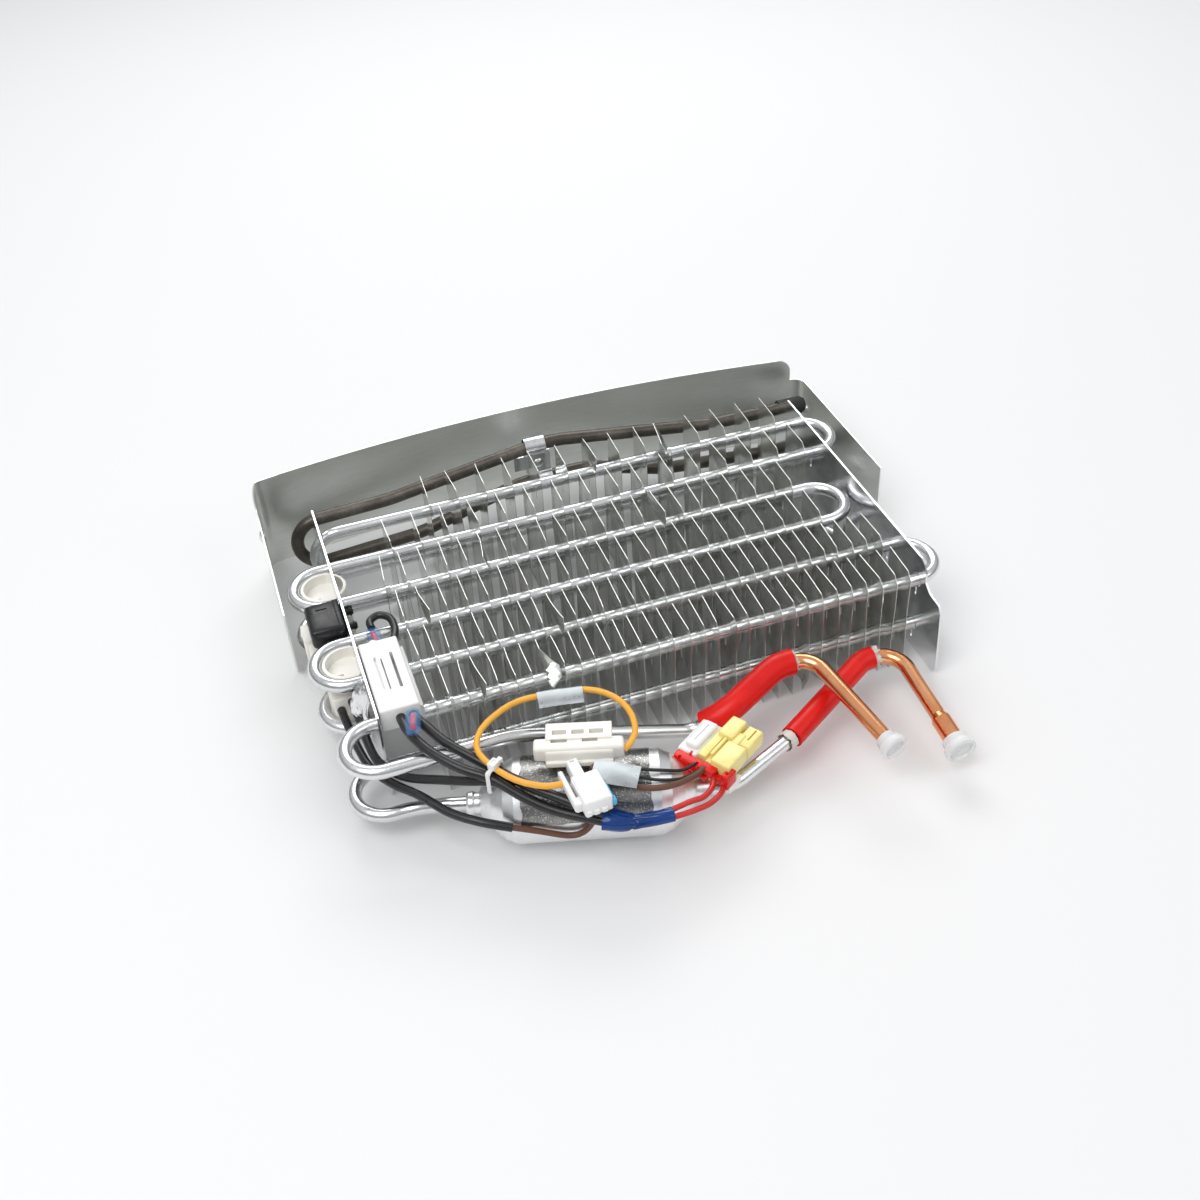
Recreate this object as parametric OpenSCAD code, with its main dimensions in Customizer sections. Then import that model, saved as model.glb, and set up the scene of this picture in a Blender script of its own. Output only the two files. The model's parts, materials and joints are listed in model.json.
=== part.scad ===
// Refrigerator evaporator coil. One aluminium tube runs back and forth through two layers of plate
// fins between two end plates. A sheathed defrost heater lies behind it, in front of a folded shield.
// Millimetres, +X to the right, +Y to the shield, +Z up. The origin is on the floor, in the middle.

/* [Coil tube] */
// Clear width between the end plates
coil_span = 286; // [276:1:300]
// Distance between neighbouring rows of tube
row_pitch = 32; // [31:0.5:34]
// Height between the two layers of tube
layer_gap = 29; // [27:0.5:31]
// Outside diameter of the tube
tube_d = 7; // [6:0.1:7.2]
// Wall of the tube
tube_wall = 0.8; // [0.5:0.1:1.2]
// Reach of the front bend past the left plate
front_turn = 19; // [17:0.5:21]
// Reach of the other left bends past the left plate
left_turn = 22; // [20:0.5:23]
// Reach of the outer right bends past the right plate
right_turn = 16; // [14:0.5:20]
// Distance of the inner right bend from the right plate
inner_turn = 4; // [4:0.5:8]
// Reach of the bend that joins the layers, past the left plate
link_turn = 4; // [3:0.5:8]

/* [Fins] */
// Height of the fins and plates past the tube centres, above and below
edge = 15.5; // [14:0.5:18]
// Width of a fin, front to back
fin_w = 25.5; // [22:0.5:27]
// Thickness of a fin
fin_t = 0.25; // [0.2:0.05:0.5]
// Size of the clipped front corner of a fin
fin_clip = 4; // [2:0.5:5]
// Wall of the collar that a fin grips the tube with
collar_wall = 0.5; // [0.4:0.1:0.8]
// Length of the collar
collar_l = 2.5; // [1.5:0.5:4]
// Play between a collar and the tube
collar_play = 0.05; // [0.05:0.05:0.15]
// Distance between fins in the two rear rows
rear_pitch = 16.1; // [14:0.1:18]
// Distance between fins in the two middle rows
middle_pitch = 10.9; // [9:0.1:13]
// Distance between fins in the two front rows
front_pitch = 8; // [7:0.1:10]
// Distance kept free of fins at the right end of the middle rows
middle_margin = 28; // [26:1:34]
// Distance kept free of fins at the right end of the other rows
margin = 8; // [6:1:12]

/* [End plates] */
// Thickness of an end plate
plate_t = 1; // [0.8:0.1:1.5]
// Play around a tube in its hole in a plate
hole_play = 0.35; // [0.3:0.05:0.5]
// Width of the slit below each hole
slit_w = 1; // [0.6:0.1:1.6]
// Length of the slit below each hole
slit_l = 6; // [4:0.5:6]
// Reach of the plates behind the heater
plate_rear = 5; // [4:0.5:8]

/* [Heater] */
// Diameter of the heater sheath
heater_d = 7.5; // [6.5:0.1:8]
// Distance of the heater behind the rear row
heater_gap = 25; // [22:0.5:30]
// Play around the heater in the plates
heater_play = 0.75; // [0.6:0.05:1]
// Thickness of the strap that ties the two heater runs
strap_t = 0.8; // [0.6:0.1:1]
// Width of the strap
strap_w = 12; // [10:0.5:14]
// Wall of the rubber boots on the heater ends
boot_wall = 1.6; // [1.2:0.1:2.4]

/* [Shield] */
// Thickness of the shield
shield_t = 0.8; // [0.6:0.1:1.2]
// Distance from the plates to the outside of the shield's flanges
shield_side = 30; // [29:0.5:34]
// Distance from the heater to the back of the shield, at its corners
shield_gap = 23; // [20:0.5:28]
// How far the back of the shield bows outwards
shield_bow = 14; // [8:0.5:16]
// Length of the shield's flanges, front to back
flange_l = 110; // [90:1:120]
// Outside radius of the shield's bends
shield_r = 8; // [5:0.5:9]
// Height of the shield's back below the top of the fins
shield_drop = 1; // [0:0.5:4]

/* [Accumulator] */
// Diameter of the accumulator
acc_d = 41; // [38:0.5:42]
// Length of its straight middle
acc_l = 68; // [60:1:70]
// Length of each spun end
acc_cone = 17; // [14:0.5:18]
// Diameter of its necks
neck_d = 10; // [9:0.5:12]
// Length of its necks
neck_l = 6; // [4:0.5:8]
// Turn of its axis in plan
acc_turn = -16.6; // [-18:0.1:-15]

/* [Connecting tubes] */
// Outside diameter of the copper tubes
copper_d = 8; // [7:0.1:8.5]
// Wall of the copper tubes
copper_wall = 0.7; // [0.5:0.1:1]
// Diameter of the sleeve on the inlet joint
sleeve_1_d = 13.5; // [12:0.5:14]
// Diameter of the sleeve on the outlet joint
sleeve_2_d = 11.5; // [11:0.5:12.5]
// Diameter that the outlet copper tube is widened to
bell_d = 10; // [9.5:0.1:11]
// Wall of the caps on the copper tubes
cap_wall = 2.2; // [1.6:0.1:2.6]
// Length of the caps
cap_l = 14; // [12:0.5:16]

/* [Fuse and clips] */
// Width of the fuse box
fuse_w = 19.5; // [16:0.5:22]
// Height of the fuse box above the tube centres
fuse_h = 14; // [11:0.5:16]
// Reach of the fuse box past the two front tubes
fuse_reach = 8; // [6:0.5:9]
// Depth of its cooling grooves
groove = 1; // [0.5:0.1:1.5]
// Play between moulded parts and what they sit on
seat = 0.3; // [0.2:0.05:0.4]

/* [Hidden] */
$fn = 48;
rows = 6;
lap = 0.1;
bend_thin = 0.02;
floor_z = -layer_gap - edge;
coil_right = coil_span + plate_t;
rear_row = (rows - 1) * row_pitch;
heater_y = rear_row + heater_gap;
plate_back = heater_y + plate_rear;
shield_back = heater_y + shield_gap;
fin_hole = tube_d + 2 * collar_play;
frame_shift = [-coil_span / 2, -61.9, -floor_z];
layers = [0, -layer_gap];

// Place of the first fin of each row, front to back
first_fins = [27, 27, 27.1, 24.7, 33.9, 62.4];

// Lines of the bends at the left and right, front to back
left_ends = [-front_turn, -left_turn, -left_turn, -link_turn];
right_ends = [coil_span + right_turn, coil_span - inner_turn, coil_span + right_turn + 2];

// Height of the heater's two runs where they pass the plates, and where the runs end on the right
heater_left = [-5.9, -35.4];
heater_right = [-4.4, -34.7];
heater_tip = coil_right + 13;

// Corners of the heater, from its upper right end to its lower right end
heater_route = [[heater_tip, heater_y, -4.5], [245, heater_y, -3.5], [150, heater_y, 10.5],
    [135, heater_y, 10.5], [45, heater_y, -3.5], [-11.5, heater_y, -6], [-11.5, heater_y, -37],
    [60, heater_y, -32], [125, heater_y, -13.5], [165, heater_y, -13], [215, heater_y, -28],
    [heater_tip, heater_y, -35.5]];
heater_bends = [0, 90, 45, 45, 90, 15, 15, 70, 60, 50, 70, 0];

// Strap on the heater: its two eyes and the rivet between them
strap_eyes = [[128, 10.2], [131, -13.3]];
strap_rivet_at = [135.5, -2];
strap_hole = 3;

// Shield: outer faces of its flanges, top of its back, and the rivets through the flanges
shield_left = -plate_t - shield_side + 1;
shield_right = coil_right + shield_side - 1;
shield_top = edge - shield_drop;
rivet_d = 4;
rivet_y = shield_back - 10;
rivet_z = -18;

// Space for the sensor clip between the third and fourth tubes of the upper layer
clip_front = 2 * row_pitch + tube_d / 2 + seat;
clip_back = 3 * row_pitch - tube_d / 2 - seat;

// Accumulator axis, from its left neck
acc_from = [30, -43, floor_z + acc_d / 2];
acc_way = [cos(acc_turn), sin(acc_turn), 0];
acc_end = 2 * neck_l + 2 * acc_cone + acc_l;
neck_depth = neck_l - 1;
foil_t = 0.3;
foil_play = 0.05;
acc_top = floor_z + acc_d + foil_play + foil_t;

// Foot and top of the mated plug and socket, which lie on the outlet tube
block_low = acc_from[2] + tube_d / 2 + seat;
block_top = block_low + 14.2;

// Corners of the inlet, from the joint in its sleeve back to the front row
inlet_joint = [179, -32.25, -12.65];
inlet_rise = [163, -38, -18];
inlet_low = [147, -32.5, -29];
inlet_top = [195, -26.5, -7.3];
copper_1_turn = [213.6, -27, -7];
copper_1_end = [225.5, -92, -13.5];

// Corners of the outlet, from the accumulator to the capped end
outlet_turn = [149, -78.6, acc_from[2]];
sleeve_2_from = [189.4, -58.5, -25];
outlet_top = [243, -26, -20.3];
copper_2_turn = [262, -25.5, -20];
copper_2_end = [262, -91, -28];

// Routes of the free wires and sleeves
black_1_route = [[16.5, -8, 8], [16.5, -10, 8], [20, -18, 8], [26, -30, 6.5], [35, -42, 5],
    [45.1, -53.8, 2.5], [56, -65.5, 0], [67, -75.5, -2], [78, -84.6, -4.5], [86, -90.5, -5.5]];
black_2_route = [[10.5, -8, 8], [10.5, -10, 8], [12, -20, 8], [18, -34, 7], [29, -48, 5],
    [40.9, -57.2, 2.5], [53, -68.5, -3.5], [65, -78, -7.5], [83, -89, -10]];
heater_1_route = [[-8, 33.7, -12], [-7, 20, -12], [-6.5, 4, -13], [-4.5, -10, -14], [1, -20, -14],
    [8, -29, -12], [20, -39, -8], [32, -48.5, -4.3], [43, -55.5, -1.8], [50, -60.5, -4]];
heater_2_route = [[-14, 33.7, -16], [-13, 20, -16], [-11.3, 5, -17.4], [-8.2, -10, -17.6],
    [-1, -25, -16], [9, -39, -14], [20, -54, -15], [31.5, -64.5, -15], [45, -70.6, -18]];
brown_1_route = [[45, -70.6, -18], [56, -74.4, -21], [69, -78.5, -25], [76, -80.4, -23], [81, -81, -16],
    [82, -81.5, -8], [81, -81.5, 1]];
brown_2_route = [[85.5, -66.5, 2], [90, -72, 1.5], [96, -80, 1], [103, -85, 0], [112, -86, -2.5],
    [122, -83, -6.5], [131, -79, -9], [136.9, -75, -10.5]];
black_3_route = [[91, -67.8, 3], [98, -71, 2], [106, -75, 1], [116, -76.2, -2.5], [126, -75, -7.5],
    [134, -71.5, -9.5]];
black_4_route = [[89, -67.2, 0.5], [97, -73.5, 0.3], [105.5, -78.6, -0.8], [113.5, -80.4, -3.8],
    [124.5, -79, -8.5], [134.5, -74.5, -11.5]];
orange_route = [[71.5, -74, 4.5], [62, -72.5, 4.5], [51, -66, 6], [43, -55.5, 7.2], [38.5, -43, 8.5],
    [43, -33, 10], [53, -27, 12], [63, -24, 13], [74, -24, 13], [96, -28, 13], [107, -38, 13],
    [111, -50, 11.5], [109, -60, 8], [102, -64.8, 5]];
red_1_route = [[112.5, -94.4, -9.6], [123, -92, -10.5], [131, -90, -12], [137, -85, -13],
    [139.7, -79.2, -13]];
red_2_route = [[112.5, -97.3, -11.3], [125, -95, -13.5], [134, -92, -15], [141.5, -86.5, -15.5],
    [144.4, -78.5, -15.5]];
fuse_route = [[10.7, 60, 8.5], [11, 66, 8.5], [16, 68.5, 9], [21, 64, 9], [21.5, 54, 9], [18, 44, 9]];
shrink_route = [[83, -89.3, -7.8], [93, -94.6, -8.5], [103, -96, -9.5], [113.5, -96, -10.5]];
tie_at = [43, -55.5, 2.4];
tie_turn = -51.5;

function unit(v) = v / norm(v);
function between(a, b, share) = a + (b - a) * share;

// Sets its child's Z axis along a direction, and its Y axis as near upright as that allows
module aim(at, way) {
    z = unit(way);
    x = abs(z[2]) > 0.999 ? [1, 0, 0] : unit(cross([0, 0, 1], z));
    y = cross(z, x);
    multmatrix([[x[0], y[0], z[0], at[0]], [x[1], y[1], z[1], at[1]], [x[2], y[2], z[2], at[2]],
            [0, 0, 0, 1]])
        children();
}

// Length that a bend of radius r takes from the straight on each side of its corner
function tangent(route, bends, i) =
    i == 0 || i == len(route) - 1 ? 0
    : bends[i] * tan(acos(unit(route[i] - route[i - 1]) * unit(route[i + 1] - route[i])) / 2);

// One bend: its child's outline turned from one straight into the next
module elbow(corner, way_in, way_out, r) {
    axis = unit(cross(way_in, way_out));
    turn = acos(way_in * way_out);
    x = cross(way_in, axis);
    hub = corner - way_in * r * tan(turn / 2) - x * r;
    y = way_in;
    multmatrix([[x[0], y[0], axis[0], hub[0]], [x[1], y[1], axis[1], hub[1]], [x[2], y[2], axis[2], hub[2]],
            [0, 0, 0, 1]])
        rotate_extrude(angle = turn) translate([r, 0]) children();
}

// Follows a route of corner points with its child's outline, with a bend at each inner corner. The
// straights lap a little into the bends, whose wall is thinner by $thin on each side, as bending leaves it.
module run(route, bends) {
    last = len(route) - 1;
    for (i = [0 : last - 1]) {
        way = unit(route[i + 1] - route[i]);
        from = route[i] + way * (tangent(route, bends, i) - (i > 0 ? lap : 0));
        to = route[i + 1] - way * (tangent(route, bends, i + 1) - (i < last - 1 ? lap : 0));
        aim(from, way) linear_extrude((to - from) * way) let ($thin = 0) children();
    }
    for (i = [1 : last - 1])
        elbow(route[i], unit(route[i] - route[i - 1]), unit(route[i + 1] - route[i]), bends[i])
            let ($thin = bend_thin) children();
}

// Section of a round rod
module rod(d) {
    circle(d = d - 2 * $thin);
}

// Section of a round tube
module ring(d, bore) {
    difference() {
        circle(d = d - 2 * $thin);
        circle(d = bore + 2 * $thin);
    }
}

// Stands an outline drawn in Y and Z on a plane across the coil, and gives it a thickness
module across(x, thick) {
    translate([x, 0, 0]) rotate([90, 0, 90]) linear_extrude(thick) children();
}

// Direction of a wire's ring, halfway between the stretches that meet there
function wire_way(p, i) =
    i == 0 ? unit(p[1] - p[0])
    : i == len(p) - 1 ? unit(p[i] - p[i - 1])
    : unit(unit(p[i + 1] - p[i]) + unit(p[i] - p[i - 1]));

function wire_point(p, i, r, turn, side) =
    let (way = wire_way(p, i), x = unit(cross(side, way)), y = cross(way, x))
    p[i] + r * (cos(turn) * x + sin(turn) * y);

// A wire or soft sleeve: one closed skin along its points, from radius r_1 to radius r_2
module wire(p, d_1, d_2, sides = 8, side = [0, 0, 1]) {
    last = len(p) - 1;
    polyhedron(
        points = [for (i = [0 : last], k = [0 : sides - 1])
            wire_point(p, i, (d_1 + (d_2 - d_1) * i / last) / 2, 360 * k / sides, side)],
        faces = concat(
            [[for (k = [0 : sides - 1]) k]],
            [[for (k = [sides - 1 : -1 : 0]) last * sides + k]],
            [for (i = [0 : last - 1], k = [0 : sides - 1])
                let (a = i * sides + k, b = i * sides + (k + 1) % sides) [a, a + sides, b + sides]],
            [for (i = [0 : last - 1], k = [0 : sides - 1])
                let (a = i * sides + k, b = i * sides + (k + 1) % sides) [a, b + sides, b]]),
        convexity = 6);
}

// Ends of the straight run of row k, in the order in which the tube passes them on its way back
function run_start(k) = k % 2 == 0 ? left_ends[k / 2] : right_ends[(k - 1) / 2];
function run_end(k) = k % 2 == 0 ? right_ends[k / 2] : left_ends[(k + 1) / 2];

module coil_tube() {
    upper = [for (k = [0 : rows - 1], x = [run_start(k), run_end(k)]) [x, k * row_pitch, 0]];
    lower = [for (i = [len(upper) - 1 : -1 : 0]) upper[i] - [0, 0, layer_gap]];
    inlet = [inlet_joint, inlet_rise, inlet_low, [60, -row_pitch, 0], [-front_turn, -row_pitch, 0]];
    neck = acc_from - acc_way * 10.4;
    outlet = [[-front_turn, -row_pitch, -layer_gap], [6, -row_pitch, -layer_gap], neck,
        acc_from + acc_way * neck_depth];
    row_bend = row_pitch / 2;
    link_bend = layer_gap / 2;
    upper_bends = [for (i = [0 : 2 * rows - 1]) i == 2 * rows - 1 ? link_bend : row_bend];
    lower_bends = [for (i = [0 : 2 * rows - 1]) i == 0 ? link_bend : row_bend];
    color("silver")
        run(concat(inlet, upper, lower, outlet),
            concat([0, 25, 10, 60, row_bend], upper_bends, lower_bends, [row_bend, 20, 20, 0]))
            ring(tube_d, tube_d - 2 * tube_wall);
}

// A hole for a tube with the slit below it
module keyhole(d) {
    circle(d = d);
    translate([-slit_w / 2, -d / 2 - slit_l]) square([slit_w, d / 2 + slit_l]);
}

module fin(x, y) {
    half = fin_w / 2;
    translate([0, y, 0]) difference() {
        union() {
            across(x, fin_t)
                polygon([[-half, floor_z], [half, floor_z], [half, edge], [fin_clip - half, edge],
                    [-half, edge - fin_clip]]);
            across(x, collar_l)
                for (z = layers) translate([0, z]) circle(d = fin_hole + 2 * collar_wall);
        }
        across(x - 1, collar_l + 2)
            for (z = layers) translate([0, z]) keyhole(fin_hole);
    }
}

// One row of fins: first is the place of its first fin, and free the width left bare at its right end
module fin_row(k, first, pitch, free) {
    count = floor((coil_span - first - free) / pitch) + 1;
    color("gainsboro") for (i = [0 : count - 1]) fin(first + i * pitch, k * row_pitch);
}

module fins_row_a() { fin_row(5, first_fins[5], rear_pitch, margin); }
module fins_row_b() { fin_row(4, first_fins[4], rear_pitch, margin); }
module fins_row_c() { fin_row(3, first_fins[3], middle_pitch, middle_margin); }
module fins_row_d() { fin_row(2, first_fins[2], middle_pitch, middle_margin); }
module fins_row_e() { fin_row(1, first_fins[1], front_pitch, margin); }
module fins_row_f() { fin_row(0, first_fins[0], front_pitch, margin); }

module plate_holes(ks, heater_z) {
    for (k = ks, z = layers) translate([k * row_pitch, z]) keyhole(tube_d + 2 * hole_play);
    for (z = heater_z) translate([heater_y, z]) circle(d = heater_d + 2 * heater_play);
}

module left_end_plate() {
    slot_d = tube_d + 2 * hole_play;
    color("gainsboro") across(-plate_t, plate_t) difference() {
        polygon([[-13, edge], [rear_row + 4, edge], [plate_back, edge - 19.5], [plate_back, floor_z],
            [-5, floor_z]]);
        plate_holes([0 : rows - 2], heater_left);
        for (z = layers) translate([rear_row, z]) circle(d = slot_d);
        translate([rear_row - slot_d / 2, -layer_gap]) square([slot_d, layer_gap]);
        for (y = [clip_front + 11, clip_back - 1]) translate([y - 2.5, -4.5]) square([5, 5]);
    }
}

module right_end_plate() {
    color("gainsboro") across(coil_span, plate_t) difference() {
        polygon([[rear_row + 2.8, edge], [-2, edge], [-5.5, edge - 2], [-8, edge - 6.5], [-8.2, edge - 12],
            [-13, 0], [-22.5, -1], [-25, -4], [-26.5, floor_z + 3.5], [-23.5, floor_z],
            [plate_back, floor_z], [plate_back, edge - 20.5]]);
        plate_holes([0, 1, 4, 5], heater_right);
    }
}

module heat_shield() {
    middle = (shield_left + shield_right) / 2;
    chord = (shield_right - shield_left) / 2 - shield_r;
    bow_r = (chord * chord + shield_bow * shield_bow) / (2 * shield_bow) - shield_t / 2;
    lean = asin(chord / (bow_r + shield_t / 2));
    crown = shield_back + 2 * shield_bow - shield_t / 2;
    half = shield_t / 2;
    bend_y = crown - (shield_right - half - middle) * tan(lean);
    front = shield_back - flange_l;
    color("darkgray") difference() {
        translate([0, 0, floor_z]) run(
            [[shield_right - half, front, 0], [shield_right - half, bend_y, 0], [middle, crown, 0],
                [shield_left + half, bend_y, 0], [shield_left + half, front, 0]],
            [0, shield_r - half, bow_r, shield_r - half, 0])
            translate([$thin - half, $thin])
                square([shield_t - 2 * $thin, shield_top - floor_z - 2 * $thin]);
        for (side = [0, 1]) translate([middle, 0, 0]) mirror([side, 0, 0]) {
            translate([chord, front - 1, 0]) cube([shield_r + 2, flange_l + shield_bow, shield_top + 1]);
            rounder([chord - shield_r, shield_top - shield_r], shield_back - 4, 2 * shield_bow);
            flange_corner(chord, front);
            translate([chord, rivet_y, rivet_z]) rotate([0, 90, 0]) cylinder(d = rivet_d, h = shield_r + 2);
        }
    }
}

// Takes the square corner off the back of the shield at its top
module rounder(at, y, depth) {
    translate([at[0], y, at[1]]) difference() {
        cube([shield_r + 1, depth, shield_r + 1]);
        translate([0, depth + 1, 0]) rotate([90, 0, 0]) cylinder(r = shield_r, h = depth + 2);
    }
}

// Takes the square corner off the foot of a flange at its front
module flange_corner(x, front) {
    r = 10;
    translate([x, front + r, floor_z + r]) difference() {
        translate([0, -r - 1, -r - 1]) cube([shield_r + 2, r + 1, r + 1]);
        translate([-1, 0, 0]) rotate([0, 90, 0]) cylinder(r = r, h = shield_r + 4);
    }
}

// A rivet along +X, with its closed head outside the sheet
module rivet(hole, grip) {
    rotate([0, 90, 0]) {
        rotate_extrude() intersection() {
            translate([0, -hole * 0.9]) circle(r = hole * 1.35);
            square([hole * 1.2, hole]);
        }
        translate([0, 0, -grip]) cylinder(d = hole - 0.1, h = grip);
        translate([0, 0, -grip - 1.2]) cylinder(d = hole * 1.3, h = 1.2);
    }
}

module shield_rivets() {
    color("lightgray") {
        translate([shield_right, rivet_y, rivet_z]) rivet(rivet_d, shield_t);
        translate([shield_left, rivet_y, rivet_z]) mirror([1, 0, 0]) rivet(rivet_d, shield_t);
    }
}

module heater_tube() { color("saddlebrown") run(heater_route, heater_bends) rod(heater_d); }

// Strap of two pressed halves: an eye round each heater run and a flat web between them
module heater_strap() {
    eye = heater_d + 1.8;
    web = strap_eyes[1][0] - strap_eyes[0][0] + strap_w;
    color("gainsboro") difference() {
        union() {
            for (at = strap_eyes) translate([at[0], heater_y, at[1]])
                rotate([0, 90, 0]) cylinder(d = eye + 2 * strap_t, h = strap_w);
            translate([strap_eyes[0][0], heater_y - strap_t, strap_eyes[1][1]])
                cube([web, 2 * strap_t, strap_eyes[0][1] - strap_eyes[1][1]]);
            translate([strap_eyes[0][0] - 7, heater_y - strap_t / 2, -5]) cube([8, strap_t, 9]);
        }
        for (at = strap_eyes) translate([at[0] - strap_w / 2, heater_y, at[1]])
            rotate([0, 90, 0]) cylinder(d = eye, h = 2 * strap_w);
        translate([strap_rivet_at[0], heater_y, strap_rivet_at[1]]) rotate([90, 0, 0])
            cylinder(d = strap_hole, h = 4, center = true);
    }
}

module strap_rivet() {
    color("lightgray") translate([strap_rivet_at[0], heater_y - strap_t, strap_rivet_at[1]])
        rotate([0, 0, -90]) rivet(strap_hole, 2 * strap_t);
}

module heater_boots() {
    d = heater_d + 2 * boot_wall;
    ends = [[heater_route[0], heater_route[1]], [heater_route[11], heater_route[10]]];
    color([0.1, 0.1, 0.1]) for (tip = ends)
        aim(tip[0] - unit(tip[0] - tip[1]) * 10, tip[0] - tip[1]) difference() {
            union() {
                cylinder(d = d, h = 15);
                translate([0, 0, 15]) cylinder(d1 = d, d2 = d - 3, h = 2.5);
            }
            translate([0, 0, -1]) cylinder(d = heater_d + 0.1, h = 11);
        }
}

// Space inside a left bend pair: between tube k and the next one back
function loop_front(k) = k * row_pitch + tube_d / 2 + seat;
function loop_back(k) = (k + 1) * row_pitch - tube_d / 2 - seat;

module bend_holder() {
    x_out = -shield_side + shield_t + seat;
    x_in = -plate_t - seat;
    low = -layer_gap + tube_d / 2 + seat;
    high = -tube_d / 2 - seat;
    front = row_pitch + 2;
    back = 4 * row_pitch + 6;
    color("ivory") difference() {
        union() {
            translate([x_out, front, low]) cube([x_in - x_out, back - front, high - low]);
            for (k = [1, 3]) loop_cup(k, x_in);
        }
        for (k = [1, 3], z = [high - 9, low - 1]) translate([x_out + 3, loop_front(k) + 5, z])
            cube([6, loop_back(k) - loop_front(k) - 10, 10]);
        translate([x_out - 1, 2 * row_pitch + 8, low + 4]) cube([8, row_pitch - 14, high - low - 8]);
    }
}

// A cup that fills a pair of bends, above and below the block, hollow from above
module loop_cup(k, x_in) {
    r = (loop_back(k) - loop_front(k)) / 2;
    y = (loop_back(k) + loop_front(k)) / 2;
    x = -left_turn + row_pitch / 2;
    low = -layer_gap - 4;
    difference() {
        translate([0, 0, low]) linear_extrude(layer_gap + 8) difference() {
            union() {
                translate([x, y]) circle(r = r);
                translate([x, y - r]) square([x_in - x, 2 * r]);
            }
            translate([x_in, y - r - 1]) square([2 * r, 2 * r + 2]);
        }
        for (z = [-1, low - 1]) translate([x - 3, y - r + 3, z]) cube([4, 2 * r - 6, 6]);
    }
}

module sensor_clip() {
    x_in = -plate_t - seat;
    low = -tube_d / 2;
    color([0.12, 0.12, 0.12]) {
        across(x_in - 18, 18)
            polygon([[clip_front, low], [clip_back, low], [clip_back, 6], [clip_back - 2, 8],
                [clip_front + 10, 8], [clip_front + 8, 6.5], [clip_front + 2, 6.5], [clip_front, 4.5]]);
        for (y = [clip_front + 11, clip_back - 1]) difference() {
            across(x_in - 1, 7) polygon([[y - 2, -3.2], [y + 1, -3.2], [y + 1, 0], [y - 2, 0]]);
            translate([x_in + 3.5, y - 3, -5]) cube([1.5, 5, 3]);
        }
    }
}

module fuse_box() {
    front = -fuse_reach;
    back = row_pitch + fuse_reach + 4;
    left = 1;
    color("white") difference() {
        union() {
            translate([left, front, 1]) cube([fuse_w, back - front, fuse_h - 1]);
            translate([left + fuse_w, front + 3, -6]) cube([2, back - front - 6, fuse_h + 1]);
        }
        for (y = [0, row_pitch]) translate([0, y, 0]) rotate([0, 90, 0])
            cylinder(d = tube_d + 2 * seat, h = left + fuse_w + 4);
        for (y = [0, row_pitch]) translate([left + fuse_w - 0.5, y - tube_d / 2 - seat, -7])
            cube([4, tube_d + 2 * seat, 7]);
        for (i = [0 : 2]) translate([left + 7 + 3.6 * i, front + 10 - i, fuse_h - groove])
            cube([0.8, 18 + 3 * i, groove + 1]);
        translate([left - 1, back - 6, fuse_h - 3]) cube([fuse_w + 2, 7, 4]);
    }
}

// Spun ends and necks of the accumulator, turned about its axis
module accumulator() {
    r = acc_d / 2;
    n = neck_d / 2;
    a = neck_l;
    b = a + acc_cone;
    c = b + acc_l;
    d = c + acc_cone;
    color("gainsboro") aim(acc_from, acc_way) difference() {
        rotate_extrude() polygon([[0, 0], [n, 0], [n + 0.6, 1], [n + 0.6, 3], [n, 4], [n, a],
            [n + 2, a + 1], [r * 0.62, a + acc_cone * 0.35], [r * 0.88, a + acc_cone * 0.7], [r, b], [r, c],
            [r * 0.88, d - acc_cone * 0.7], [r * 0.62, d - acc_cone * 0.35], [n + 2, d - 1], [n, d],
            [n, acc_end], [0, acc_end]]);
        translate([0, 0, -1]) cylinder(d = tube_d + 0.1, h = neck_l + 1);
        translate([0, 0, acc_end - neck_l]) cylinder(d = tube_d + 0.1, h = neck_l + 1);
    }
}

// Foil stuck round the top and front of the accumulator
module foil_patch() {
    start = neck_l + acc_cone + 3;
    color("dimgray") aim(acc_from + acc_way * start, acc_way) rotate([0, 0, 20])
        rotate_extrude(angle = 150) translate([acc_d / 2 + foil_play, 0]) square([foil_t, acc_l - 7]);
}

module outlet_tube() {
    color("silver") run([acc_from + acc_way * (acc_end - neck_depth), outlet_turn, sleeve_2_from,
        between(sleeve_2_from, outlet_top, 0.5)], [0, 20, 60, 0]) ring(tube_d, tube_d - 2 * tube_wall);
}

module pale_collar() {
    way = sleeve_2_from - outlet_turn;
    color("linen") aim(sleeve_2_from - unit(way) * 5.6, way) linear_extrude(5) let ($thin = 0)
        ring(sleeve_2_d - 1.6, tube_d + 0.3);
}

module red_sleeve_1() {
    color("red") run([between(inlet_low, inlet_rise, 0.4), inlet_rise, inlet_top,
        between(inlet_top, copper_1_turn, 0.45)], [0, 25, 25, 0]) ring(sleeve_1_d, copper_d + 0.3);
}

module red_sleeve_2() {
    color("red") run([sleeve_2_from, outlet_top, between(outlet_top, copper_2_turn, 0.28)], [0, 15, 0])
        ring(sleeve_2_d, copper_d + 0.3);
}

module copper_tube_1() {
    joint = between(inlet_rise, inlet_top, 0.51);
    color("peru") run([joint, inlet_top, copper_1_turn, copper_1_end], [0, 25, 13, 0])
        ring(copper_d, copper_d - 2 * copper_wall);
}

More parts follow.
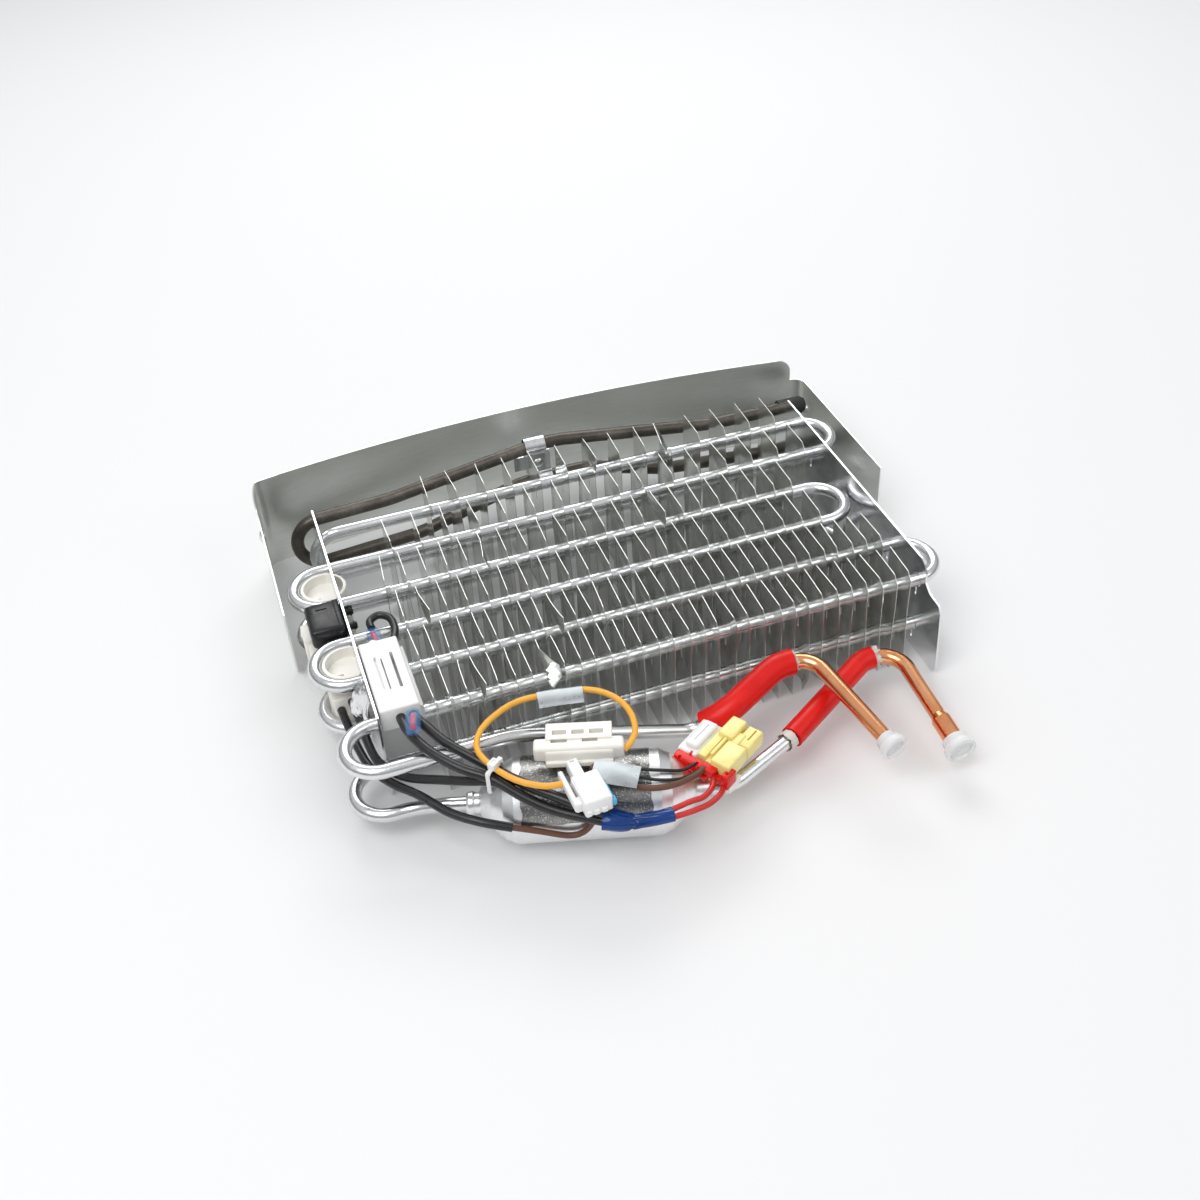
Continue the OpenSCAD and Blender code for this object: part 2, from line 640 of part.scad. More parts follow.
module copper_tube_2() {
    way = unit(copper_2_end - copper_2_turn);
    neck = copper_2_end - way * 20;
    inner = copper_d / 2 - copper_wall;
    start = between(sleeve_2_from, outlet_top, 0.51);
    color("peru") {
        run([start, outlet_top, copper_2_turn, neck], [0, 15, 13, 0])
            ring(copper_d, copper_d - 2 * copper_wall);
        aim(neck - way * lap, way) rotate_extrude() polygon([[inner + bend_thin, 0],
            [copper_d / 2 - bend_thin, 0], [bell_d / 2, 3], [bell_d / 2, 20 + lap],
            [bell_d / 2 - copper_wall, 20 + lap], [bell_d / 2 - copper_wall, 3]]);
    }
}

// A push-on cap with ribs round it, open towards the tube
module tube_cap(end, way, tube) {
    d = tube + 2 * cap_wall;
    color("whitesmoke") aim(end - unit(way) * (cap_l - 5), way) difference() {
        union() {
            cylinder(d = d, h = cap_l - 1);
            translate([0, 0, cap_l - 1]) cylinder(d1 = d, d2 = d - 2, h = 1);
            for (k = [0 : 2]) translate([0, 0, 1 + 4 * k]) cylinder(d = d + 1, h = 1.4);
        }
        translate([0, 0, -1]) cylinder(d = tube + 0.1, h = cap_l - 4);
    }
}

module end_cap_1() { tube_cap(copper_1_end, copper_1_end - copper_1_turn, copper_d); }
module end_cap_2() { tube_cap(copper_2_end, copper_2_end - copper_2_turn, bell_d); }

// Clear crimp sleeves with a coloured joint, on the fuse lead and on the sleeve below the fuse box
module fuse_crimps() {
    color("steelblue") {
        aim([10.7, row_pitch + fuse_reach + 4, 8.5], [0, 1, 0]) crimp(16);
        aim([16.5, -12, 13.1], [-0.5, -2, 0]) crimp(16);
    }
}

module crimp(l) {
    cylinder(d = 4.5, h = l);
    translate([0, 0, l * 0.3]) cylinder(d = 5.2, h = l * 0.4);
}

// Turned frame of the big connector, whose length runs along X
module ivory_place() {
    translate([66, -57.5, 0]) rotate([0, 0, -18]) children();
}

module ivory_connector() {
    low = acc_top;
    color("ivory") ivory_place() difference() {
        union() {
            translate([0.6, 7, low]) cube([30.7, 10.5, 13 - low]);
            translate([-5, 1.5, low]) cube([41.6, 7, 8 - low]);
            translate([0, -1, low]) cube([32, 4, 6.5 - low]);
            for (x = [6, 16, 26]) translate([x, -1.8, low]) cube([3, 3, 5 - low]);
        }
        for (x = [3.5, 12.5, 21.5]) translate([x, 9.5, 10]) cube([7, 0.9, 4]);
        for (x = [1, 11, 21]) translate([x, 16, low + 2]) cube([8.5, 3, 6]);
    }
}

module small_connector() {
    low = -0.3;
    color("white") translate([77.5, -66.2, 0]) rotate([0, 0, 6]) difference() {
        rotate([90, 0, 0]) linear_extrude(26)
            polygon([[-7, low], [7, low], [7, 6.5], [4.5, 8.7], [-7, 8.7]]);
        translate([-8, -29, 6.5]) rotate([-8, 0, 0]) cube([16, 12, 6]);
        for (x = [-4.8, 0.2]) translate([x, -27, low + 2]) cube([4, 4, 4]);
        translate([-4.5, -15, 7.9]) cube([7, 9, 2]);
    }
}

// Turned frame of the mated pair, whose length runs along X from the wire side
module block_place() {
    translate([136.75, -67.15, 0]) rotate([0, 0, 34]) children();
}

module white_plug() {
    color("white") block_place() difference() {
        union() {
            translate([0, 0.1, block_low]) cube([22, 9, block_top - block_low]);
            translate([3, 2, block_top - 0.1]) cube([15, 5, 1.2]);
        }
        translate([15, 6.5, block_low - 1]) cube([8, 3, 17]);
        translate([-1, 3, block_low + 3]) cube([4, 4, 8]);
    }
}

module yellow_socket() {
    color("khaki") block_place() difference() {
        union() {
            translate([0, -15, block_low]) cube([27, 14.9, block_top - block_low - 1.5]);
            translate([0, -9, block_low]) cube([25, 8.9, block_top - block_low]);
            translate([4, -17, block_low + 3]) cube([17, 3, 6]);
        }
        translate([5, -8, block_top - 1]) cube([13, 1.2, 2]);
        translate([5, -4, block_top - 1]) cube([13, 1.2, 2]);
        translate([20, -17, block_top - 5]) cube([8, 7, 6]);
        translate([-1, -12, block_low + 3]) cube([4, 9, 6]);
    }
}

// Locks pressed into the wire side of both halves
module red_locks() {
    high = block_top - 2;
    color("red") block_place() {
        difference() {
            translate([-3, -14, high - 5]) cube([2.9, 21, 5]);
            translate([-4, -4, high - 2]) cube([5, 3, 3]);
        }
        translate([-5.5, 1, high - 3]) cube([2.6, 6, 3]);
        translate([-5.5, -13, high - 7]) cube([2.6, 4, 4]);
        translate([-4, -20.3, high - 6]) cube([7, 2.6, 5]);
        translate([-3, -18, high - 6]) cube([2.9, 4, 3]);
    }
}

module cable_tie() {
    color("white") translate(tie_at) rotate([90, 0, tie_turn + 90]) translate([0, 0, -1.8]) {
        linear_extrude(3.6) difference() {
            tie_outline(13, 15.4, 4);
            tie_outline(11.2, 13.6, 3.1);
        }
        translate([-3, 7.5, -0.7]) cube([6, 4.5, 5]);
        translate([2.4, 8, 0.3]) cube([6, 1, 3]);
    }
}

module tie_outline(w, h, r) {
    translate([-w / 2 + r, -h / 2]) square([w - 2 * r, h]);
    translate([-w / 2, -h / 2 + r]) square([w, h - 2 * r]);
    for (x = [-1, 1], y = [-1, 1]) translate([x * (w / 2 - r), y * (h / 2 - r)]) circle(r = r);
}

module blue_shrink() { color("navy") wire(shrink_route, 12.4, 7.4, 12); }

module label_sleeve() {
    way = orange_route[9] - orange_route[8];
    color("gainsboro") aim(orange_route[8] + [0.5, 0, 0], way) difference() {
        cylinder(d = 8, h = 20);
        translate([0, 0, -1]) cylinder(d = 3.4, h = 22);
    }
}

module flag_label() {
    color("gainsboro") translate([98.7, -77, 4.2]) rotate([0, 5, -26]) cube([19, 12, 0.5], center = true);
}

module black_sleeve_1() { color([0.1, 0.1, 0.1]) wire(black_1_route, 4.8, 4.8, 10); }
module black_sleeve_2() { color([0.1, 0.1, 0.1]) wire(black_2_route, 4.8, 4.8, 10); }
module heater_sleeve_1() { color([0.1, 0.1, 0.1]) wire(heater_1_route, 4.4, 4.4, 10); }
module heater_sleeve_2() { color([0.1, 0.1, 0.1]) wire(heater_2_route, 4.4, 4.4, 10); }
module brown_wire_1() { color("sienna") wire(brown_1_route, 3, 3, 8, [0, 1, 0]); }
module brown_wire_2() { color("sienna") wire(brown_2_route, 3, 3); }
module black_wire_1() { color([0.1, 0.1, 0.1]) wire(black_3_route, 1.6, 1.6); }
module black_wire_2() { color([0.1, 0.1, 0.1]) wire(black_4_route, 1.6, 1.6); }
module orange_wire() { color("orange") wire(orange_route, 3, 3); }
module red_wire_1() { color("red") wire(red_1_route, 2.8, 2.8); }
module red_wire_2() { color("red") wire(red_2_route, 2.8, 2.8); }
module fuse_lead() { color([0.1, 0.1, 0.1]) wire(fuse_route, 4, 4, 8); }

translate(frame_shift) {
    coil_tube();
    fins_row_a();
    fins_row_b();
    fins_row_c();
    fins_row_d();
    fins_row_e();
    fins_row_f();
    left_end_plate();
    right_end_plate();
    heat_shield();
    shield_rivets();
    heater_tube();
    heater_strap();
    strap_rivet();
    heater_boots();
    bend_holder();
    sensor_clip();
    fuse_box();
    accumulator();
    foil_patch();
    outlet_tube();
    pale_collar();
    red_sleeve_1();
    red_sleeve_2();
    copper_tube_1();
    copper_tube_2();
    end_cap_1();
    end_cap_2();
    fuse_crimps();
    ivory_connector();
    small_connector();
    white_plug();
    yellow_socket();
    red_locks();
    cable_tie();
    blue_shrink();
    label_sleeve();
    flag_label();
    black_sleeve_1();
    black_sleeve_2();
    heater_sleeve_1();
    heater_sleeve_2();
    brown_wire_1();
    brown_wire_2();
    black_wire_1();
    black_wire_2();
    orange_wire();
    red_wire_1();
    red_wire_2();
    fuse_lead();
}
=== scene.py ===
# %% [markdown]
# # A refrigerator evaporator coil
# This lesson dresses a finished engineering model of an evaporator coil: the cold part of a
# refrigerator, where air is drawn over plate fins on a long aluminium tube. The solids come from
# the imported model, in metres, and stay where they are. Blender gives them their finishes, and
# makes again the pieces whose small irregularities a plain solid can't have: bent fins, soft
# wires, shrunk sleeves, moulded connectors and a crumpled foil.

# %% The fixed frame
import json
import math
import random

import bpy
from mathutils import Matrix, Vector, noise


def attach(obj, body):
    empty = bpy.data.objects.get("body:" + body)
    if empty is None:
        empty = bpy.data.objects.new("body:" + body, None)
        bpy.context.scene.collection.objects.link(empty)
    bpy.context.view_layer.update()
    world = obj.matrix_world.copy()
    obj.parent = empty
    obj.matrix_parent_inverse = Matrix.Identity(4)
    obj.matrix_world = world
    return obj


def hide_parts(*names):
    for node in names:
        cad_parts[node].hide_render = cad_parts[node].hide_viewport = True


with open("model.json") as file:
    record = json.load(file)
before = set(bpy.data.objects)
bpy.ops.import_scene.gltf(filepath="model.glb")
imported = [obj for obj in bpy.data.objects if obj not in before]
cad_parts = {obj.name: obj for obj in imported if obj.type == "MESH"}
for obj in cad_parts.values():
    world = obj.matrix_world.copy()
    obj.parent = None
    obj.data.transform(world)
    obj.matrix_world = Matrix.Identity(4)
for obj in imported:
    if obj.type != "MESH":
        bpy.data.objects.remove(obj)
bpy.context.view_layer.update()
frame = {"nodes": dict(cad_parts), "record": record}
nodes = frame["nodes"]

# %% [markdown]
# The engineering model was drawn in millimetres from a handy corner: x from the left end plate, y
# from the front row of tubes, z from the upper layer of tubes. One small function turns such a
# point into the frame's metres, so that every place below is given as it was drawn.

# %% Places in the coil's own millimetres
ORIGIN = Vector((143.0, 61.9, -44.5))
MM = 0.001


def place(x, y, z):
    return (Vector((x, y, z)) - ORIGIN) * MM


def places(points):
    return [place(*point) for point in points]


print("left plate's front tube hole at", tuple(place(0, 0, 0)))

# %% [markdown]
# ## Camera
# The camera comes first, because the free wires are judged by what it sees. Its place, turn and
# lens were fitted to twenty points of the plates, tubes and bends. A camera looks along its own
# -Z, so its matrix holds its right, its up and the way back, as three columns.

# %% The camera
CAMERA_AT = place(-32.8, -509.23, 478.03)
YAW, PITCH, ROLL = (math.radians(a) for a in (-16.11, 39.54, -4.05))
LENS, SENSOR = 43.32, 36


def set_out(name, data):
    """Puts data in the scene as an object."""
    thing = bpy.data.objects.new(name, data)
    bpy.context.scene.collection.objects.link(thing)
    return thing


right = Vector((math.cos(YAW), math.sin(YAW), 0))
back = Vector((math.sin(YAW) * math.cos(PITCH), -math.cos(YAW) * math.cos(PITCH),
               math.sin(PITCH)))
up = back.cross(right)
turned_right = right * math.cos(ROLL) + up * math.sin(ROLL)
turned_up = up * math.cos(ROLL) - right * math.sin(ROLL)

lens = bpy.data.cameras.new("camera")
lens.sensor_width = SENSOR
lens.lens = LENS
camera = set_out("camera", lens)
turn = Matrix((turned_right, turned_up, back)).transposed()
camera.matrix_world = Matrix.Translation(CAMERA_AT) @ turn.to_4x4()
bpy.context.scene.camera = camera
bpy.context.scene.view_settings.view_transform = "Standard"
print("camera at", tuple(camera.location), "lens", LENS)

# %% [markdown]
# ## Working by hand
# An operator acts on all that is selected, and the loaded nodes come selected, so each step
# starts by putting everything down and picking up one piece. Modifiers are applied, so that what
# is left is a plain mesh with its place in its points.

# %% Picking up one piece
def put_down():
    if bpy.context.mode != "OBJECT":
        bpy.ops.object.mode_set(mode="OBJECT")
    bpy.ops.object.select_all(action="DESELECT")


def pick(piece):
    put_down()
    piece.select_set(True)
    bpy.context.view_layer.objects.active = piece


def edit(piece, *steps):
    """Runs operators on all of a piece in edit mode."""
    pick(piece)
    bpy.ops.object.mode_set(mode="EDIT")
    bpy.ops.mesh.select_all(action="SELECT")
    for step, settings in steps:
        step(**settings)
    bpy.ops.object.mode_set(mode="OBJECT")


def apply_modifier(piece, kind, **settings):
    pick(piece)
    modifier = piece.modifiers.new(kind.lower(), kind)
    for name, value in settings.items():
        setattr(modifier, name, value)
    bpy.ops.object.modifier_apply(modifier=modifier.name)


def smooth(piece, degrees):
    pick(piece)
    bpy.ops.object.shade_smooth_by_angle(angle=math.radians(degrees))


# %% A copy of a solid, with its loose triangles joined
SAME_POINT = 2e-6
JOIN_POINTS = (bpy.ops.mesh.remove_doubles, {"threshold": SAME_POINT})
FACE_OUT = (bpy.ops.mesh.normals_make_consistent, {"inside": False})
SELECT_ALL = (bpy.ops.mesh.select_all, {"action": "SELECT"})


def merged_copy(node, name):
    piece = set_out(name, nodes[node].data.copy())
    piece.data.materials.clear()
    edit(piece, (bpy.ops.mesh.customdata_custom_splitnormals_clear, {}), JOIN_POINTS)
    return piece


def stands_for(piece, slot, *replaced):
    """Puts a piece under its body and hides the solids that it takes the place of. The slot is not
    used.
    """
    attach(piece, "root")
    if replaced:
        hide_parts(*replaced)


print("hand tools ready")

# %% [markdown]
# ## Wires and sleeves
# The harness is soft: two black sleeves from the fuse box, two from the heater, and thin coloured
# wires between the connectors. Each one is a free cord, so it is a curve of one open spline. Its
# points repeat the route of the engineering model, with a smooth curve laid through them.

# %% Routes, in the coil's millimetres
ROUTES = {
    "black_sleeve_1": [(16.5, -8, 8), (16.5, -10, 8), (20, -18, 8), (26, -30, 6.5), (35, -42, 5),
        (45.1, -53.8, 2.5), (56, -65.5, 0), (67, -75.5, -2), (78, -84.6, -4.5),
        (86, -90.5, -5.5)],
    "black_sleeve_2": [(10.5, -8, 8), (10.5, -10, 8), (12, -20, 8), (18, -34, 7), (29, -48, 5),
        (40.9, -57.2, 2.5), (53, -68.5, -3.5), (65, -78, -7.5), (83, -89, -10)],
    "heater_sleeve_1": [(-8, 33.7, -12), (-7, 20, -12), (-6.5, 4, -13), (-4.5, -10, -14),
        (1, -20, -14), (8, -29, -12), (20, -39, -8), (32, -48.5, -4.3), (43, -55.5, -1.8),
        (50, -60.5, -4)],
    "heater_sleeve_2": [(-14, 33.7, -16), (-13, 20, -16), (-11.3, 5, -17.4), (-8.2, -10, -17.6),
        (-1, -25, -16), (9, -39, -14), (20, -54, -15), (31.5, -64.5, -15), (45, -70.6, -18)],
    "brown_wire_1": [(45, -70.6, -18), (56, -74.4, -21), (69, -78.5, -25), (76, -80.4, -23),
        (81, -81, -16), (82, -81.5, -8), (81, -81.5, 1)],
    "brown_wire_2": [(85.5, -66.5, 2), (90, -72, 1.5), (96, -80, 1), (103, -85, 0),
        (112, -86, -2.5), (122, -83, -6.5), (131, -79, -9), (136.9, -75, -10.5)],
    "black_wire_1": [(91, -67.8, 3), (98, -71, 2), (106, -75, 1), (116, -76.2, -2.5),
        (126, -75, -7.5), (134, -71.5, -9.5)],
    "black_wire_2": [(89, -67.2, 0.5), (97, -73.5, 0.3), (105.5, -78.6, -0.8),
        (113.5, -80.4, -3.8), (124.5, -79, -8.5), (134.5, -74.5, -11.5)],
    "orange_wire": [(71.5, -74, 4.5), (62, -72.5, 4.5), (51, -66, 6), (43, -55.5, 7.2),
        (38.5, -43, 8.5), (43, -33, 10), (53, -27, 12), (63, -24, 13), (74, -24, 13),
        (96, -28, 13), (107, -38, 13), (111, -50, 11.5), (109, -60, 8), (102, -64.8, 5)],
    "red_wire_1": [(112.5, -94.4, -9.6), (123, -92, -10.5), (131, -90, -12), (137, -85, -13),
        (139.7, -79.2, -13)],
    "red_wire_2": [(112.5, -97.3, -11.3), (125, -95, -13.5), (134, -92, -15),
        (141.5, -86.5, -15.5), (144.4, -78.5, -15.5)],
    "fuse_lead": [(10.7, 60, 8.5), (11, 66, 8.5), (16, 68.5, 9), (21, 64, 9), (21.5, 54, 9),
        (18, 44, 9)],
}
CORDS = {
    "black_sleeve_1": (4.8, "black_sleeving", "fitting", ["blue_shrink", "cable_tie"]),
    "black_sleeve_2": (4.8, "black_sleeving", "object", []),
    "heater_sleeve_1": (4.4, "black_sleeving", "object", []),
    "heater_sleeve_2": (4.4, "black_sleeving", "object", []),
    "brown_wire_1": (3.0, "brown_insulation", "connector", ["small_connector"]),
    "brown_wire_2": (3.0, "brown_insulation", "plug", ["white_plug", "red_locks"]),
    "black_wire_1": (1.6, "black_insulation", "object", ["ivory_connector"]),
    "black_wire_2": (1.6, "black_insulation", "object", []),
    "orange_wire": (3.0, "orange_insulation", "object", ["label_sleeve", "flag_label"]),
    "red_wire_1": (2.8, "red_insulation", "connector", ["yellow_socket"]),
    "red_wire_2": (2.8, "red_insulation", "object", []),
    "fuse_lead": (4.0, "black_sleeving", "fitting", ["fuse_crimps"]),
}


# %% A smooth line through a route's points
def curve_through(points, count):
    """Points spaced evenly along a Catmull-Rom curve through the given ones."""
    steps = 24
    padded = [points[0] * 2 - points[1]] + points + [points[-1] * 2 - points[-2]]
    fine = []
    for a, b, c, d in zip(padded, padded[1:], padded[2:], padded[3:]):
        for step in range(steps):
            t = step / steps
            fine.append(0.5 * (2 * b + (c - a) * t + (2 * a - 5 * b + 4 * c - d) * t ** 2
                               + (3 * b - a - 3 * c + d) * t ** 3))
    fine.append(points[-1])
    walked = [0.0]
    for a, b in zip(fine, fine[1:]):
        walked.append(walked[-1] + (b - a).length)
    spaced = []
    i = 0
    for k in range(count):
        goal = walked[-1] * k / (count - 1)
        while i < len(walked) - 2 and walked[i + 1] < goal:
            i += 1
        share = (goal - walked[i]) / (walked[i + 1] - walked[i])
        spaced.append(fine[i].lerp(fine[i + 1], min(1.0, share)))
    return spaced, walked[-1]


# %% Each cord as a curve
CORD_POINTS = 36
for name, (d, slot, far_end, on_it) in CORDS.items():
    points, length = curve_through(places(ROUTES[name]), CORD_POINTS)
    line = bpy.data.curves.new(name + "_line", "CURVE")
    line.dimensions = "3D"
    line.bevel_depth = 1.0
    line.bevel_resolution = 5
    line.use_fill_caps = True
    spline = line.splines.new("POLY")
    spline.points.add(len(points) - 1)
    for knot, point in zip(spline.points, points):
        knot.co = (*point, 1)
        knot.radius = d / 2 * MM
    spline.use_smooth = True
    stands_for(set_out(name + "_soft", line), slot, name)
    print(name, "is", round(length, 4), "m")

# %% [markdown]
# ## Finishes
# A finish is a small network of shader nodes. Written out node by node it is long, so a value in
# the network is wrapped in a class that knows arithmetic: adding two such values adds a Math
# node. Every other node is made by one method that takes its type, its settings and its inputs.

# %% Arithmetic on shader values
class Value:
    """A socket of a shader node that can be added and multiplied."""

    def __init__(self, bench, socket):
        self.bench = bench
        self.socket = socket

    def math(self, operation, *others):
        return self.bench.node("Math", {"operation": operation}, dict(enumerate(others)))

    def __add__(self, other):
        return self.math("ADD", self, other)

    def __mul__(self, other):
        return self.math("MULTIPLY", self, other)

    __radd__ = __add__
    __rmul__ = __mul__


# %% A bench on which one finish is put together
class Bench:
    """One material, or the world, and the nodes in it."""

    def __init__(self, name, world=None):
        self.owner = bpy.data.materials.new(name) if world is None else world
        self.owner.use_nodes = True
        self.tree = self.owner.node_tree
        self.tree.nodes.clear()

    def node(self, kind, settings=None, inputs=None, output=0):
        new = self.tree.nodes.new("ShaderNode" + kind)
        for name, value in (settings or {}).items():
            if name == "stops":
                while len(new.color_ramp.elements) < len(value):
                    new.color_ramp.elements.new(0.5)
                for stop, (at, colour) in zip(new.color_ramp.elements, value):
                    stop.position = at
                    stop.color = (*colour, 1)
            else:
                setattr(new, name, value)
        for name, value in (inputs or {}).items():
            if isinstance(value, Value):
                self.tree.links.new(value.socket, new.inputs[name])
            else:
                new.inputs[name].default_value = value
        return Value(self, new.outputs[output])

    def spot(self, stretch=(1, 1, 1)):
        """Object coordinates in metres, stretched by a scale along each axis."""
        where = self.node("TexCoord", output="Object")
        if stretch == (1, 1, 1):
            return where
        return self.node("Mapping", {}, {"Vector": where, "Scale": stretch})

    def clouds(self, scale, detail, rough, stretch=(1, 1, 1)):
        return self.node("TexNoise", {}, {
            "Vector": self.spot(stretch), "Scale": scale, "Detail": detail, "Roughness": rough})

    def between(self, share, low, high, start=0.3, stop=0.7, curve="LINEAR"):
        """A number from low to high as share rises. Noise mostly lies from 0.3 to 0.7."""
        return self.node("MapRange", {"interpolation_type": curve}, {
            "Value": share, "From Min": start, "From Max": stop, "To Min": low, "To Max": high})

    def tint(self, share, *stops):
        """A colour from a ramp."""
        return self.node("ValToRGB", {"stops": stops}, {"Fac": share})

    def blend(self, share, first, second):
        return self.node("Mix", {"data_type": "RGBA"}, {0: share, 6: first, 7: (*second, 1)},
                         output=2)

    def bump(self, height, depth):
        return self.node("Bump", {}, {"Height": height, "Strength": 1.0, "Distance": depth * MM})

    def finish(self, **sockets):
        """The shader itself. Sockets are given by name, with _ for a space."""
        inputs = {name.replace("_", " "): value for name, value in sockets.items()}
        self.close(self.node("BsdfPrincipled", {}, inputs))
        return self.owner

    def close(self, shader, of="Material"):
        end = self.tree.nodes.new("ShaderNodeOutput" + of)
        self.tree.links.new(shader.socket, end.inputs["Surface"])


print("bench ready")

# %% [markdown]
# ### Metals
# Nearly all of the coil is bare aluminium, yet no two parts look alike. The tube is drawn, with
# fine lines along it. The fins are rolled sheet and catch the light in long soft streaks. The end
# plates are almost mirrors, the shield is dull grey, and the accumulator is spun, with rings.

# %% Aluminium of the tube, fins and plates
finishes = {}


def metal(name, dark, light, rough, scratch, scale, depth, spots, metallic=1.0):
    """Scratch lines on soft patches, with dark spots of a given strength."""
    bench = Bench(name)
    lines = bench.clouds(scale, 4, 0.6, scratch)
    patches = bench.clouds(28.0, 3, 0.5)
    colour = bench.tint(patches * 0.6 + lines * 0.4, (0.3, dark), (0.7, light))
    dots = bench.between(bench.clouds(420.0, 2, 0.6), 0.0, spots, 0.60, 0.72)
    finishes[name] = bench.finish(
        Base_Color=bench.blend(dots, colour, tuple(c * 0.45 for c in dark)), Metallic=metallic,
        Roughness=bench.between(lines * 0.5 + patches * 0.5, *rough),
        Normal=bench.bump(lines, depth))


metal("tube_aluminium", (0.66, 0.67, 0.68), (0.88, 0.89, 0.90), (0.18, 0.30), (3, 60, 60), 10.0,
      0.0008, 0.2)
metal("fin_aluminium", (0.56, 0.57, 0.545), (0.68, 0.69, 0.66), (0.14, 0.22), (60, 30, 4), 8.0,
      0.004, 0.1, metallic=0.8)
metal("plate_aluminium", (0.72, 0.73, 0.74), (0.88, 0.89, 0.90), (0.12, 0.24), (60, 4, 30), 8.0,
      0.008, 0.15)
metal("rivet_metal", (0.60, 0.61, 0.62), (0.86, 0.87, 0.87), (0.22, 0.36), (1, 1, 1), 200.0,
      0.01, 0.2)
metal("accumulator_aluminium", (0.84, 0.85, 0.86), (0.94, 0.95, 0.96), (0.30, 0.42), (40, 4, 4),
      14.0, 0.006, 0.15)
metal("copper", (0.90, 0.34, 0.14), (1.00, 0.54, 0.30), (0.12, 0.22), (30, 4, 30), 12.0,
      0.006, 0.2)
print("metals", sorted(finishes))

# %% [markdown]
# The shield is dull rolled sheet, so its gloss is broad and its colour a middle grey. The
# heater's sheath was baked to a dark brown oxide, blotched where it ran hottest. The foil on the
# accumulator is darker and speckled.

# %% Shield, heater sheath and foil
bench = Bench("shield_aluminium")
grain = bench.clouds(30.0, 5, 0.6, (3, 3, 40))
broad = bench.clouds(9.0, 2, 0.5)
finishes["shield_aluminium"] = bench.finish(
    Base_Color=bench.tint(broad * 0.6 + grain * 0.4, (0.3, (0.72, 0.74, 0.70)),
                          (0.7, (0.90, 0.92, 0.88))),
    Metallic=0.9, Roughness=bench.between(broad, 0.30, 0.42), Normal=bench.bump(grain, 0.02))

bench = Bench("heater_sheath")
blotch = bench.clouds(45.0, 5, 0.65)
specks = bench.clouds(600.0, 2, 0.6)
finishes["heater_sheath"] = bench.finish(
    Base_Color=bench.tint(blotch * 0.75 + specks * 0.25, (0.32, (0.060, 0.052, 0.042)),
                          (0.52, (0.105, 0.094, 0.078)), (0.72, (0.20, 0.185, 0.16))),
    Metallic=0.6, Roughness=bench.between(blotch, 0.28, 0.44), Normal=bench.bump(specks, 0.02))

bench = Bench("grey_foil")
specks = bench.clouds(1400.0, 2, 0.7)
wear = bench.clouds(60.0, 4, 0.6)
pits = bench.between(specks, 0.0, 1.0, 0.56, 0.66)
dull = bench.tint(wear, (0.32, (0.17, 0.17, 0.165)), (0.68, (0.30, 0.30, 0.29)))
finishes["grey_foil"] = bench.finish(
    Base_Color=bench.blend(pits, dull, (0.72, 0.72, 0.71)),
    Metallic=0.95, Roughness=bench.between(wear, 0.22, 0.36), Normal=bench.bump(pits, 0.012))
print("dull metals", sorted(finishes))

# %% [markdown]
# ### Plastics
# Moulded plastic is plain in colour, with a faint mottle and a skin like fine leather. Shrink
# tubing is smoother and shows soft wrinkles. Wire insulation has a satin skin with dust on it.

# %% Plastics
def plastic(name, dark, light, rough, scale=220.0, depth=0.02, **fixed):
    bench = Bench(name)
    mottle = bench.clouds(35.0, 4, 0.6)
    skin = bench.clouds(scale, 3, 0.6)
    finishes[name] = bench.finish(
        Base_Color=bench.tint(mottle * 0.7 + skin * 0.3, (0.3, dark), (0.7, light)),
        Roughness=bench.between(skin, *rough), Normal=bench.bump(skin, depth), **fixed)


plastic("red_shrink", (0.60, 0.004, 0.003), (0.80, 0.012, 0.007), (0.28, 0.40), 120.0, 0.03,
        Specular_IOR_Level=0.3)
plastic("clear_plastic", (0.84, 0.85, 0.86), (0.94, 0.95, 0.95), (0.20, 0.32), 90.0, 0.02,
        Alpha=0.82, Coat_Weight=0.3)
plastic("pale_plastic", (0.56, 0.53, 0.48), (0.74, 0.71, 0.66), (0.40, 0.60))
plastic("ivory_plastic", (0.86, 0.83, 0.76), (0.91, 0.89, 0.84), (0.34, 0.48), 220.0, 0.006)
plastic("white_plastic", (0.82, 0.82, 0.81), (0.89, 0.89, 0.88), (0.30, 0.44), 220.0, 0.006)
plastic("yellow_plastic", (0.88, 0.74, 0.24), (0.94, 0.83, 0.38), (0.24, 0.36), 160.0, 0.006)
plastic("red_plastic", (0.62, 0.006, 0.004), (0.80, 0.014, 0.008), (0.22, 0.34), 220.0, 0.006,
        Specular_IOR_Level=0.35)
plastic("black_plastic", (0.006, 0.006, 0.007), (0.018, 0.018, 0.020), (0.22, 0.36), 220.0, 0.004,
        Specular_IOR_Level=0.35)
plastic("black_rubber", (0.010, 0.010, 0.010), (0.03, 0.03, 0.03), (0.55, 0.75))
plastic("black_sleeving", (0.008, 0.008, 0.009), (0.026, 0.026, 0.028), (0.26, 0.38), 260.0, 0.015)
plastic("blue_shrink", (0.001, 0.018, 0.11), (0.003, 0.055, 0.27), (0.10, 0.20), 90.0, 0.10,
        Specular_IOR_Level=0.35, Coat_Weight=0.15, Coat_Roughness=0.06)
plastic("blue_clear_plastic", (0.03, 0.20, 0.46), (0.12, 0.38, 0.68), (0.08, 0.16), 120.0, 0.03,
        Alpha=0.3, Coat_Weight=0.2)
plastic("light_blue_plastic", (0.05, 0.36, 0.66), (0.12, 0.50, 0.80), (0.20, 0.32), 200.0, 0.006)
plastic("label_film", (0.29, 0.315, 0.33), (0.44, 0.47, 0.49), (0.26, 0.38), 300.0, 0.001,
        Metallic=0.5)
plastic("brown_insulation", (0.10, 0.040, 0.022), (0.17, 0.075, 0.045), (0.30, 0.44), 300.0, 0.02)
